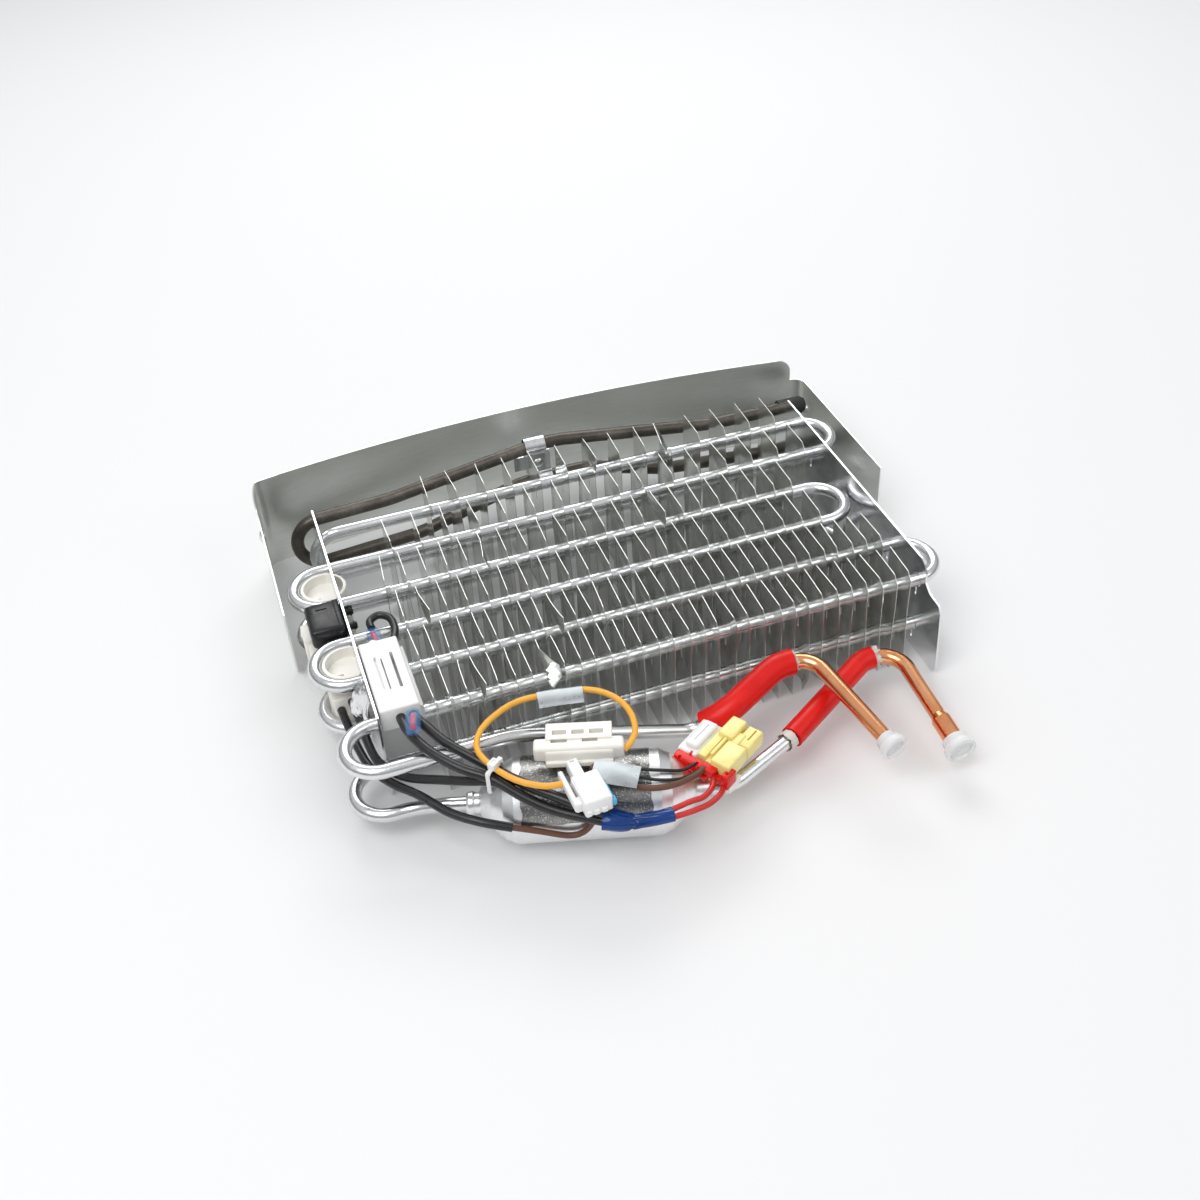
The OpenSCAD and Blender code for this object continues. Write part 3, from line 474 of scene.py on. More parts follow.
plastic("black_insulation", (0.010, 0.010, 0.010), (0.03, 0.03, 0.03), (0.30, 0.44), 300.0, 0.02)
plastic("orange_insulation", (0.84, 0.38, 0.035), (0.94, 0.50, 0.07), (0.30, 0.44), 300.0, 0.01)
plastic("red_insulation", (0.50, 0.010, 0.010), (0.66, 0.025, 0.02), (0.28, 0.42), 300.0, 0.02)
print(len(finishes), "finishes")

# %% [markdown]
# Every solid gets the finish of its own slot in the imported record, so a scene that swaps a slot's
# finish later changes all of its pieces at once. New pieces get theirs from one function.

# %% Finishes on the solids
slot_of = {part["node"]: part["material_slot"] for part in frame["record"]["subparts"]}
for name, solid in nodes.items():
    solid.data.materials.clear()
    solid.data.materials.append(finishes[slot_of[name]])
for name in CORDS:
    bpy.data.objects[name + "_soft"].data.materials.append(finishes[slot_of[name]])


def dress(piece, degrees, slot, *replaced, finish=None):
    smooth(piece, degrees)
    piece.data.materials.clear()
    piece.data.materials.append(finishes[finish or slot])
    print(piece.name, len(piece.data.polygons), "faces")
    stands_for(piece, slot, *replaced)


print("finished", len(nodes), "solids")

# %% [markdown]
# ## Fins
# A fin is a strip of thin sheet pressed on the tube by its two collars. The collars hold it
# straight there, but its edges are easily knocked: some fins lean, some are wavy, a few have a
# dog-eared corner. The solid's own fins are copied, cut across into small fields so that they can
# bend, and their points are moved sideways, more the further they lie from the collars.

# %% How a fin's sheet is cut up and moved
FIN_HALF, FIN_RISE = 12.75, 30
FRONT, BACK, TOP, FOOT = -FIN_HALF, FIN_HALF, 15.5, -44.5
ROW_PITCH, LAYER_GAP = 32, 29.0
FIRST_FINS = (27, 27, 27.1, 24.7, 33.9, 62.4)
FIN_PITCH = (8, 8, 10.9, 10.9, 16.1, 16.1)
CUTS_Z = (-41, -37, -34, -22, -18, -14.5, -11, -7, 5, 7.5, 10, 12.5)
CUTS_Y = (-11, -9, -7, -5, 5, 7, 9, 11)


def soft_step(low, high, value):
    share = min(1.0, max(0.0, (value - low) / (high - low)))
    return share * share * (3 - 2 * share)


def fold(y, z, edge):
    """Turns the corner past a fold line. Gives the sideways move and the pull in y and z."""
    (y0, z0), (y1, z1), angle = edge
    run = math.hypot(y1 - y0, z1 - z0)
    over = ((z - z0) * (y1 - y0) - (y - y0) * (z1 - z0)) / run
    if over <= 0:
        return 0, 0, 0
    pull = over * (1 - math.cos(angle))
    return over * math.sin(angle), pull * (z1 - z0) / run, -pull * (y1 - y0) / run


print("fold of a corner", fold(-12, 15, ((FRONT, 5), (-0.5, TOP), 0.6)))

# %% [markdown]
# Which fins are bent was read from the photograph: one front fin has a bright dog-ear beside the
# orange wire, its neighbours to the left are wavy, and a rear one is curled at its top.

# %% Bent fins, by row and number
FOLDS = {
    (0, 7): ((FRONT, 3.0), (1.5, TOP), 1.35),
    (0, 3): ((FRONT, 9), (2, TOP), 0.5),
    (0, 24): ((-4, FOOT), (FRONT, -36), -0.6),
    (0, 25): ((-2, FOOT), (FRONT, -35), 0.5),
    (1, 9): ((FRONT, 8), (0, TOP), 0.4),
    (1, 17): ((0, FOOT), (FRONT, -37), 0.45),
    (5, 9): ((FRONT, 4), (BACK, 9), -0.55),
    (5, 6): ((FRONT, 8), (BACK, 12), 0.35),
    (4, 9): ((FRONT, 7), (BACK, 11), -0.3),
    (3, 5): ((FRONT, 10), (2, TOP), -0.6),
    (3, 14): ((FRONT, 8), (BACK, 12), 0.3),
    (2, 1): ((FRONT, 8), (6, TOP), 0.45),
}
WAVY = {(0, 2): 0.9, (0, 3): 1.3, (0, 4): 1.1, (0, 5): 0.8, (0, 8): 0.7, (0, 9): 0.6, (1, 3): 0.6,
        (1, 4): 0.7, (1, 8): 0.8, (1, 9): 0.9, (0, 19): 0.5, (2, 6): 0.5, (5, 2): 0.5}

LEAN, WAVE_LENGTH = 0.30, 6.5
HELD_WITHIN, FREE_BEYOND = 4.6, 11


def bent(y, z, row, number, habit):
    """The move of a fin's point, from its height and its place about the row's middle."""
    twist, lean, phase, wave = habit
    wave = WAVY.get((row, number), wave)
    reach = min(math.hypot(y, z), math.hypot(y, z + LAYER_GAP))
    side = twist * y / FIN_HALF + lean * (z + LAYER_GAP / 2) / FIN_RISE
    side += wave * math.sin(z / WAVE_LENGTH + phase) * (0.35 + 0.65 * (y / FIN_HALF) ** 2)
    side *= soft_step(HELD_WITHIN, FREE_BEYOND, reach)
    corner = FOLDS.get((row, number))
    out, pull_y, pull_z = fold(y, z, corner) if corner else (0, 0, 0)
    return Vector((side + out, pull_y, pull_z))


# %% Fins
random.seed(5)
for row, letter in enumerate("fedcba"):
    piece = merged_copy("fins_row_" + letter, "fins_" + letter)
    cuts = [(place(0, 0, z), (0, 0, 1)) for z in CUTS_Z]
    cuts += [(place(0, ROW_PITCH * row + y, 0), (0, 1, 0)) for y in CUTS_Y]
    steps = []
    for at, normal in cuts:
        steps += [SELECT_ALL, (bpy.ops.mesh.bisect, {"plane_co": at, "plane_no": normal})]
    edit(piece, *steps)
    habits = {}
    for point in piece.data.vertices:
        x, y, z = point.co / MM + ORIGIN
        number = math.floor((x - FIRST_FINS[row] + 1) / FIN_PITCH[row])
        if number not in habits:
            habits[number] = (random.gauss(0, LEAN), random.gauss(0, LEAN),
                              random.uniform(0, 6.3), random.uniform(0.1, 0.28))
        point.co += bent(y - ROW_PITCH * row, z, row, number, habits[number]) * MM
    dress(piece, 25, "fin_aluminium", "fins_row_" + letter)
    print(len(habits), "fins")

# %% [markdown]
# ## Bent corner of the left end plate
# Between the first two rows the front of the left plate was bent outwards and crumpled. It's a
# small sheet: a grid whose corners are moved to the bend, with a little noise for the crumpling.
# The same function serves each sheet below, with a rule of its own for where its points go.

# %% A grid bent by a rule
def grid(name, across, along, where):
    """A grid whose points go where a function of their two places, from -1 to 1, says."""
    put_down()
    bpy.ops.mesh.primitive_grid_add(x_subdivisions=across, y_subdivisions=along, size=2)
    piece = bpy.context.object
    piece.name = piece.data.name = name
    for point in piece.data.vertices:
        point.co = where(point.co.x, point.co.y)
    return piece


def thicken(piece, millimetres, offset=0):
    apply_modifier(piece, "SOLIDIFY", thickness=millimetres * MM, offset=offset)


# %% Bent corner of the plate
TOP_BACK, TOP_FRONT = Vector((-1.3, 27.5, 7.5)), Vector((-1.3, 6.5, 8.5))
LOW_BACK, LOW_FRONT = Vector((-9.5, 25.0, -8.0)), Vector((-3.5, 7.0, -15.0))


def on_flap(x, y):
    u, v = (x + 1) / 2, (y + 1) / 2
    spot = TOP_BACK.lerp(TOP_FRONT, u).lerp(LOW_BACK.lerp(LOW_FRONT, u), v)
    crumple = (noise.noise(Vector((3 * u, 3 * v, 5.0))) * 2.2 * v
               + noise.noise(Vector((9 * u, 9 * v, 1.0))) * 0.8 * v)
    ragged = noise.noise(Vector((7 * u, 2.0, 0.0))) * 2.0 * v
    return place(spot.x - 1.5 * math.sin(math.pi * v) - crumple, spot.y, spot.z + ragged)


flap = grid("plate_bent_corner", 24, 24, on_flap)
thicken(flap, 0.3)
dress(flap, 30, "plate_aluminium")

# %% [markdown]
# ## Left corner of the shield
# At the left the shield's back runs on round the corner and slopes down to the flange. This strip
# follows the bend: first along the flange, then round the arc, then along the back.

# %% Shield corner
BEND_X, BEND_Y, BEND_R, TURN = -22.0, 199.47, 7.6, math.radians(80.3)
BACK_TOP, STRIP_FOOT = 14.45, -0.5
STRIP_FROM, STRIP_HALF, SLOPE = -4, 12.5, 11.5


def along_shield(s):
    """A point of the shield's middle line, some millimetres past the start of its bend."""
    if s < 0:
        return BEND_X - BEND_R, BEND_Y + s
    angle = min(s / BEND_R, TURN)
    rest = max(0.0, s - TURN * BEND_R)
    return (BEND_X - BEND_R * math.cos(angle) + rest * math.sin(TURN),
            BEND_Y + BEND_R * math.sin(angle) + rest * math.cos(TURN))


def on_corner(x, y):
    s, v = STRIP_FROM + STRIP_HALF * (x + 1), (y + 1) / 2
    top = BACK_TOP * soft_step(STRIP_FROM, STRIP_FROM + SLOPE, s)
    return place(*along_shield(s), v * (top - STRIP_FOOT) + STRIP_FOOT)


corner = grid("shield_corner", 60, 12, on_corner)
thicken(corner, 0.86)
dress(corner, 40, "shield_aluminium")

# %% [markdown]
# ## Moulded pieces
# Connectors, the fuse box and the holder in the bends are moulded plastic. The thin bright line
# along a rounded edge is what makes plastic look like plastic, so each piece is put together from
# blocks whose edges are rounded first. Booleans join them, and then cut the windows, whose edges
# stay crisp.

# %% Blocks and rods
def settled(rounding, **edges):
    """The piece just added, with its place in its points and its edges rounded."""
    bpy.ops.object.transform_apply(location=True, rotation=True, scale=True)
    piece = bpy.context.object
    if rounding:
        apply_modifier(piece, "BEVEL", width=rounding * MM, segments=3, **edges)
    return piece


def block(low, high, rounding=0.0, at=(0, 0, 0), turn=0.0):
    """A box between two corners in millimetres, in a frame turned about Z by degrees."""
    put_down()
    angle = math.radians(turn)
    low, high = Vector(low), Vector(high)
    middle = Matrix.Rotation(angle, 3, "Z") @ ((low + high) / 2)
    bpy.ops.mesh.primitive_cube_add(size=1, location=place(*(Vector(at) + middle)),
                                    rotation=(0, 0, angle), scale=(high - low) * MM)
    return settled(rounding)


def blocks_at(at, turn):
    """A maker of blocks in a frame of their own."""
    return lambda low, high, rounding=0.0: block(low, high, rounding, at, turn)


def rod(start, end, r, sides=40, rounding=0.0):
    """A round bar between two points in millimetres."""
    put_down()
    first, last = place(*start), place(*end)
    bpy.ops.mesh.primitive_cylinder_add(
        vertices=sides, radius=r * MM, depth=(last - first).length, location=(first + last) / 2,
        rotation=(last - first).to_track_quat("Z", "Y").to_euler())
    return settled(rounding, limit_method="ANGLE", angle_limit=math.radians(40))


def combine(first, others, operation):
    for other in others:
        apply_modifier(first, "BOOLEAN", operation=operation, object=other, solver="EXACT")
        bpy.data.objects.remove(other)
    return first


def moulding(name, slot, added, cut, *replaced, finish=None):
    piece = combine(combine(added[0], added[1:], "UNION"), cut, "DIFFERENCE")
    piece.name = piece.data.name = name
    dress(piece, 40, slot, *replaced, finish=finish)


# %% [markdown]
# ### Fuse box
# The fuse box is clipped over the two front tubes. It has one deep slot and two shallow grooves
# in its lid, a spout for the lead at its back, and a low rim along its right side.

# %% Fuse box
BOX_LEFT, BOX_RIGHT, BOX_FRONT, BOX_BACK, BOX_TOP = 1, 20.5, -8, 44, 14
FRONT_TUBES, TUBE_SEAT = (0, ROW_PITCH), 3.8
box_parts = [
    block((BOX_LEFT, BOX_FRONT, 1), (BOX_RIGHT, BOX_BACK, BOX_TOP), 0.9),
    block((BOX_RIGHT - 1, BOX_FRONT + 3, -6), (BOX_RIGHT + 2, BOX_BACK - 3, 9), 0.6),
    rod((8.8, BOX_BACK - 1, 8.5), (8.8, BOX_BACK + 4.5, 8.5), 2.5, 24, 0.4),
]
box_cuts = [rod((0, y, 0), (24, y, 0), TUBE_SEAT) for y in FRONT_TUBES]
box_cuts += [block((BOX_RIGHT, y - TUBE_SEAT, -7), (24, y + TUBE_SEAT, 0)) for y in FRONT_TUBES]
box_cuts += [block((x0, y0, BOX_TOP - deep), (x1, y1, BOX_TOP + 1)) for x0, x1, y0, y1, deep in (
    (14.3, 15.9, 6, 32.5, 7), (9.3, 10.1, 6, 29.5, 3.5), (6.2, 7.4, 7, 31.4, 1.6))]
moulding("fuse_box_made", "white_plastic", box_parts, box_cuts, "fuse_box")

# %% [markdown]
# ### Holder in the bends
# An ivory holder sits between the left plate and the bends of the tube. A cup fills each pair of
# bends, a spine joins the cups, and two short ribs stand beside the black sensor clip.

# %% Holder in the bends
CUP_R, CUP_WALL, CUP_X, INNER_X = 12.2, 1.7, -6, -1.3
CUP_Y = (48, 112)
holder_parts = [block((-17.2, 42, -21), (INNER_X, 124, -8.2), 0.8),
                block((-17, 33.8, -19.6), (-5, 44, -9.5), 0.7),
                block((-23.2, 79, -20), (-16.5, 93, -4.5), 1.0),
                block((-21.6, 66, -20), (-16.5, 77.5, -5.5), 1.0)]
holder_cuts = []
for middle in CUP_Y:
    for wall, low, high, pile in ((0.0, -32, 1.6, holder_parts),
                                  (CUP_WALL, -4.5, 3, holder_cuts)):
        r = CUP_R - wall
        rounding = 0 if wall else 0.5
        pile.append(rod((CUP_X, middle, low), (CUP_X, middle, high), r, 48, rounding))
        pile.append(block((CUP_X, middle - r, low), (INNER_X - wall, middle + r, high), rounding))
    holder_cuts.append(block((-14, middle - 7, -8), (-8.5, middle - 1.5, -3)))
moulding("bend_holder_made", "ivory_plastic", holder_parts, holder_cuts, "bend_holder")

# %% [markdown]
# ### The big ivory connector
# Two tiers lie side by side, with rows of latch windows. The front tier is rounded, and both its
# ends stand out beyond the rear one. All of it is turned a little to the left of the tubes.

# %% Ivory connector
ivory = blocks_at((66, -57.5, 0), -18)
ivory_parts = [ivory((0.6, 7, -3.1), (31.3, 17.5, 11.4), 0.5),
               ivory((-5, 1.6, 2.0), (36.6, 9.4, 10.4), 1.6),
               ivory((0, 0.6, 1.4), (32, 5.5, 9.0), 1.6),
               ivory((0.6, -0.8, 0.6), (31.4, 2, 3.6), 0.5)]
ivory_cuts = [ivory((x0, 9.8, 7.4), (x1, 12.6, 12))
              for x0, x1 in ((3.7, 10.3), (12.7, 18.4), (20.8, 27.2))]
ivory_cuts += [ivory((x0, 5.6, 7.6), (x1, 8.8, 11)) for x0, x1 in ((3.1, 10.6), (17.5, 24.6))]
ivory_cuts += [ivory((x, 16, -1), (x + 8.5, 19, 5)) for x in (1, 11, 21)]
moulding("ivory_connector_made", "ivory_plastic", ivory_parts, ivory_cuts, "ivory_connector")

# %% [markdown]
# ### The small white connector
# It lies on the sleeves: a squared body with a narrower neck, a springy latch arm at its left,
# teeth at the end where the brown wire goes in, and a light blue tab along its right side.

# %% Small connector and its tab
small = blocks_at((77.8, -66.2, 0), 3)
small_parts = [small((-5.2, -26.6, -0.3), (8.0, -8, 8.4), 0.8),
               small((-3.2, -12, 0.2), (2.2, 3.6, 6.8), 0.7),
               small((-8.8, -23.5, 1.2), (-6.4, -0.6, 6.2), 0.9),
               small((-8.0, -23.4, 1.0), (-4.5, -18.5, 5.8), 0.3)]
small_parts += [small((x, -27.4, 0.4), (x + 2.4, -25, 3.2), 0.3) for x in (-4.8, -1, 2.8)]
small_cuts = [small((-1.7, 1.2, 5.6), (0.3, 2.5, 8)), small((-5.8, -18, 7.6), (-4.6, -9, 9))]
moulding("small_connector_made", "white_plastic", small_parts, small_cuts, "small_connector")
moulding("blue_tab", "blue_clear_plastic",
         [small((7.9, -25.2, 2.6), (9.0, -13.5, 6.4), 0.4),
          small((7.9, -27.0, 2.2), (9.8, -23.4, 5.4), 0.4)], [], finish="light_blue_plastic")

# %% [markdown]
# ### The mated pair
# A white plug and a yellow socket are pushed together, and red locks are pressed into their wire
# side. The yellow half is a stack of steps and ribs, so that it fits its plug in one way only.

# %% White plug, yellow socket and red locks
PAIR_LOW, PAIR_TOP = -20.2, -6.0
DEEP = PAIR_LOW - PAIR_TOP
in_pair = blocks_at((136.75, -67.15, 0), 34)


def pair(x0, y0, z0, x1, y1, z1, rounding=0.5):
    """A block of the pair. Heights are counted from its top."""
    return in_pair((x0, y0, PAIR_TOP + z0), (x1, y1, PAIR_TOP + z1), rounding)


moulding("white_plug_made", "white_plastic",
         [pair(-1.2, 0.1, DEEP, 21, 10.8, -2.4, 1.2), pair(1.5, 1.2, -4, 20, 8.4, 0.2, 1.4),
          pair(11, 0.1, DEEP, 22.4, 11.6, -3.6, 0.9)],
         [pair(5, 4.6, -0.5, 17, 5.2, 1, 0)], "white_plug")
moulding("yellow_socket_made", "yellow_plastic",
         [pair(0, -15, DEEP, 27, -0.1, -4.2, 0.8), pair(0, -4.4, -5, 25, -0.1, -1.6),
          pair(2.5, -6.9, -5, 17.5, -5.3, -0.6), pair(15, -9.4, -5, 28.4, -1.4, 0.9, 0.9),
          pair(-1.6, -18.4, -9, 14, -8.2, 0.1, 0.9), pair(16, -18, -10, 29, -10.2, -1.6, 0.9),
          pair(14, -13, -9, 22, -9, -0.9, 0.6), pair(3, -17, -11.2, 21, -14, -5.2, 0.7)],
         [pair(20, -15.4, -3.4, 27.6, -14.4, 0, 0), pair(-2.4, -13, -11.2, 2, -3, -5.2, 0)],
         "yellow_socket")
moulding("red_locks_made", "red_plastic",
         [pair(-5.6, -12.5, -8, -1.2, 9.8, -3.4, 0.4), pair(-6.6, -9, -10.2, -3.0, 7, -7.4, 0.4),
          pair(-1.6, 2.4, -5, 0.4, 3.6, -2.3, 0.2), pair(-5.6, -20.6, -10.4, 1.8, -16.6, -2.4, 0.8),
          pair(-4.8, -17, -9.6, -1.2, -11, -6.8, 0.4)],
         [pair(-6.2, -3.4, -4.8, -3.4, -1.9, -1, 0), pair(-6.2, 5.8, -5, -4.2, 7.2, -1, 0),
          pair(-3.6, -19.2, -3.6, 0.4, -18, 0, 0)], "red_locks")
moulding("socket_tail", "ivory_plastic",
         [pair(-4, -20.6, -14.0, 6, -16.2, -9.6), pair(-4.8, -19.8, -13.8, -2.5, -17.2, -11, 0.3)],
         [pair(-5, -19, -11, 7, -18, -8, 0)])

# %% [markdown]
# ### Sensor clip
# A black drum is clipped to the left plate between two bends. Two prongs hold it in the plate.

# %% Sensor clip
PRONGS_Y = (78.8, 91.0)
clip_parts = [block((-19.3, 67.8, -3.5), (-1.3, 92.2, 8), 2.4),
              block((-4.5, 68.6, -3.3), (-1.3, 91.4, 8.2), 0.6)]
clip_parts += [rod((-2, y, -2), (5.4, y, -2), 1.9, 20, 0.6) for y in PRONGS_Y]
clip_parts += [rod((3.4, y, -2), (4.4, y, -2), 2.4, 20, 0.3) for y in PRONGS_Y]
moulding("sensor_clip_made", "black_plastic", clip_parts, [block((-14, 74, 7.6), (-8, 86, 9))],
         "sensor_clip")

# %% [markdown]
# ### Cable tie
# The strap is a flattened ring round the sleeves. Its ratchet head sits on top, with a short
# tail.

# %% Cable tie
tie = blocks_at((43, -55.5, 0), 38.5)
tie_parts = [tie((-6.1, -1.3, -5.0), (6.1, 1.3, 8.6), 2.2),
             tie((-2.6, -2.0, 7.6), (2.6, 2.0, 11.2), 0.6),
             tie((2.2, -1.2, 8.4), (5.6, 1.2, 9.4), 0.3)]
tie_cuts = [tie((-5.2, -3, -4.2), (5.2, 3, 7.8), 1.8), tie((-1.2, -0.9, 10.6), (1.2, 0.9, 12))]
moulding("cable_tie_made", "white_plastic", tie_parts, tie_cuts, "cable_tie")

# %% [markdown]
# ### Heater boots
# Rubber boots close the ends of the heater. Their solids have the right shape with sharp edges,
# so a copy of them is cleaned of the flat faces' inner edges, and what is left is rounded.

# %% Heater boots
boots = merged_copy("heater_boots", "heater_boots_made")
edit(boots, (bpy.ops.mesh.dissolve_limited, {"angle_limit": math.radians(0.6)}))
apply_modifier(boots, "BEVEL", width=0.4 * MM, segments=3, limit_method="ANGLE",
               angle_limit=math.radians(32))
dress(boots, 40, "black_rubber", "heater_boots")

# %% [markdown]
# ## Soft tubes
# Shrink tubing, its torn liner and the rags at the ends of the red sleeves are all skins round a
# line. A flat grid is added, then its points are rolled round the line: across the grid goes the
# angle, along it goes the way. A small function gives the radius at each place, and with it the
# folds, the ragged ends and the taper.

# %% A grid rolled round a line
UP = Vector((0, 0, 1))


def halved(start, end):
    return [start, start.lerp(end, 0.5), end]


def rolled(name, line, sides, rings, radius, ends=None):
    """radius(share, angle) is in millimetres, and ends(angle) gives moves of the two ends."""
    spaced = curve_through(line, rings + 1)[0]

    def where(x, y):
        angle, share = math.pi * (x + 1), (y + 1) / 2
        shift = 0.0
        if ends:
            first, last = ends(angle)
            shift = first * (1 - share) ** 6 + last * share ** 6
        walk = min(max(share * rings, 0.0), rings - 0.001)
        i = int(walk)
        centre = spaced[i].lerp(spaced[i + 1], walk - i)
        way = (spaced[min(i + 2, rings)] - spaced[max(i - 1, 0)]).normalized()
        level = UP.cross(way).normalized()
        upright = way.cross(level)
        out = level * math.cos(angle) + upright * math.sin(angle)
        return centre + out * radius(share, angle) * MM + way * shift * MM

    piece = grid(name, sides, rings, where)
    edit(piece, JOIN_POINTS, FACE_OUT)
    return piece


def close_ends(piece):
    edit(piece, (bpy.ops.mesh.select_all, {"action": "DESELECT"}),
         (bpy.ops.mesh.select_mode, {"type": "EDGE"}), (bpy.ops.mesh.select_non_manifold, {}),
         (bpy.ops.mesh.fill_holes, {"sides": 0}), SELECT_ALL, FACE_OUT)


# %% [markdown]
# ### Crimps
# The fuse's leads are joined in clear blue crimp sleeves. They were shrunk flat at their ends,
# and the red joint shows through. The film is a thin see-through skin, so the joint is its own
# piece.

# %% Crimps and their red joints
CRIMPS = (((10.7, 44.6, 8.5), (10.7, 60, 8.5)), ((16.5, -11, 13.4), (12.8, -27, 13.1)))


def film_radius(share, angle):
    middle = 1 - abs(2 * share - 1) ** 3
    wide, high = 2.7 + 1.0 * middle, 0.7 + 1.2 * middle
    return 1 / math.hypot(math.cos(angle) / wide, math.sin(angle) / high)


films, cores = [], []
for start, end in CRIMPS:
    start, end = Vector(start), Vector(end)
    films.append(rolled("film", places(halved(start, end)), 40, 24, film_radius))
    cores.append(rod(start.lerp(end, 0.2), start.lerp(end, 0.78), 1.6, 24, 0.5))
for name, (piece, second), slot, replaced in (
        ("fuse_crimps_made", films, "blue_clear_plastic", ["fuse_crimps"]),
        ("crimp_joints", cores, "red_plastic", [])):
    pick(piece)
    second.select_set(True)
    bpy.ops.object.join()
    piece.name = piece.data.name = name
    dress(piece, 40, slot, *replaced)

# %% [markdown]
# ### Caps
# A cloudy cap is pressed on the end of each copper tube: a short cone that opens to a rim, with a
# hollow in its end. It starts as a circle that is drawn out and scaled ring by ring.

# %% Caps on the copper tubes
def turned(name, start, way, profile, sides=48):
    """A solid of rings (distance, radius) in millimetres along a line, closed at both ends."""
    put_down()
    bpy.ops.mesh.primitive_circle_add(
        vertices=sides, radius=profile[0][1] * MM, fill_type="NGON",
        location=place(*(start + way * profile[0][0])),
        rotation=way.to_track_quat("Z", "Y").to_euler())
    piece = settled(0)
    piece.name = piece.data.name = name
    steps = []
    for (s0, r0), (s1, r1) in zip(profile, profile[1:]):
        steps.append((bpy.ops.mesh.extrude_region_move,
                      {"TRANSFORM_OT_translate": {"value": way * (s1 - s0) * MM}}))
        steps.append((bpy.ops.transform.resize,
                      {"value": (r1 / r0,) * 3, "center_override": place(*(start + way * s1))}))
    edit(piece, *steps, SELECT_ALL, FACE_OUT)
    return piece


COPPER_1, COPPER_2 = Vector((213.6, -27, -7)), Vector((262, -25.5, -20))
COPPER_ENDS = ((COPPER_1, Vector((225.5, -92, -13.5)), 4.0, 6.2),
               (COPPER_2, Vector((262, -91, -28)), 5.0, 4.6))
HOLLOW = 0.5
CAP = ((4.4, 0.05), (0, 0.05), (-0.1, 0.1), (0, 1.0), (0.4, 1.3), (3.6, 1.9), (4.2, 2.6),
       (6.8, 2.9), (7.6, 2.8), (8.1, 2.2), (8.2, 1.2), (7.5, 0.8), (6.6, 0.5))
for number, (bend, end, r, over) in enumerate(COPPER_ENDS, 1):
    way = (end - bend).normalized()
    cap = turned("end_cap_%d_made" % number, end - way * over, way,
                 [(at, r + wall) for at, wall in CAP] + [(6.5, HOLLOW)])
    dress(cap, 40, "clear_plastic", "end_cap_%d" % number)

# %% [markdown]
# The blue shrink tube gathers two black sleeves at its wide end and two red wires at its narrow
# one. It was warmed by hand, so it is flattened and has long wrinkles.

# %% Blue shrink tube
SHRINK = [(83, -89.3, -7.8), (93, -94.6, -8.5), (103, -96, -9.5), (113.5, -96, -10.5)]
WIDE_R, NARROW_R = 5.3, 3.4


def shrink_radius(share, angle):
    round_part = WIDE_R + (NARROW_R - WIDE_R) * soft_step(0.1, 0.55, share)
    flat = 1 + 0.13 * math.cos(2 * angle)
    spot = Vector((2.6 * math.cos(angle), 2.6 * math.sin(angle), 3.0 * share))
    wrinkle = 0.45 * abs(noise.noise(spot)) + 0.2 * abs(noise.noise(spot * 2.9))
    tuck = 0.55 * math.exp(-((share - 0.42 - 0.03 * math.sin(3 * angle)) / 0.02) ** 2)
    return round_part * flat - wrinkle - tuck


blue = rolled("blue_shrink_made", places(SHRINK), 64, 90, shrink_radius)
close_ends(blue)
dress(blue, 60, "blue_shrink", "blue_shrink")

# %% [markdown]
# Under each red sleeve lies a thin pale liner. Where the sleeve ends, a torn rim of it stands
# out: a collar at the foot of the second sleeve, and small rags where the copper comes out.

# %% Torn liners
def torn(phase, depth):
    def ends(angle):
        rag = (math.sin(5 * angle + phase) + 0.7 * math.sin(11 * angle + 2 * phase)
               + 0.4 * math.sin(23 * angle))
        return -0.25 * rag * depth, 0.5 * rag * depth
    return ends


def liner(name, rim, reach, r, flare, phase, depth, *replaced):
    """A torn skin at a share of the way between two points, over a reach along that way."""
    a, b, part = rim
    at, way = a.lerp(b, part), (b - a).normalized()

    def radius(share, angle):
        mottle = noise.noise(Vector((2 * math.cos(angle), 2 * math.sin(angle), 3 * share + phase)))
        return r + flare * share ** 2 * (0.6 + 0.4 * math.sin(7 * angle + phase)) + 0.12 * mottle

    start, end = places(at + way * past for past in reach)
    skin = rolled(name, halved(start, end), 64, 10, radius, torn(phase, depth))
    thicken(skin, 0.35, -1)
    dress(skin, 50, "pale_plastic", *replaced)


OUTLET_TURN, INLET_TOP = Vector((149, -78.6, -24)), Vector((195, -26.5, -7.3))
SLEEVE_FOOT, SLEEVE_TOP = Vector((189.4, -58.5, -25)), Vector((243, -26, -20.3))
liner("liner_collar", (OUTLET_TURN, SLEEVE_FOOT, 1), (-0.9, -5.4), 4.75, 0.15, 1.0, 0.6,
      "pale_collar")
liner("liner_rag_1", (INLET_TOP, COPPER_1, 0.45), (-0.6, 1.6), 4.45, 0.9, 2.2, 1.2)
liner("liner_rag_2", (SLEEVE_TOP, COPPER_2, 0.28), (-0.6, 2.6), 4.45, 1.3, 0.4, 2.2)

# %% [markdown]
# ## Foil and labels
# The foil on the accumulator is soft: it was pressed on by hand, so it has creases and an uneven
# edge. The flag label is a strip of silver film that lies on the thin wires in a shallow curve.
# Both are grids bent over what carries them.

# %% Foil on the accumulator
ACC_FROM, ACC_TURN, ACC_R = Vector((30, -43, -24)), math.radians(-16.6), 20.62
ACC_WAY = Vector((math.cos(ACC_TURN), math.sin(ACC_TURN), 0))
ACC_SIDE = UP.cross(ACC_WAY)
FOIL_MIDDLE, FOIL_HALF = 56.5, 30.0


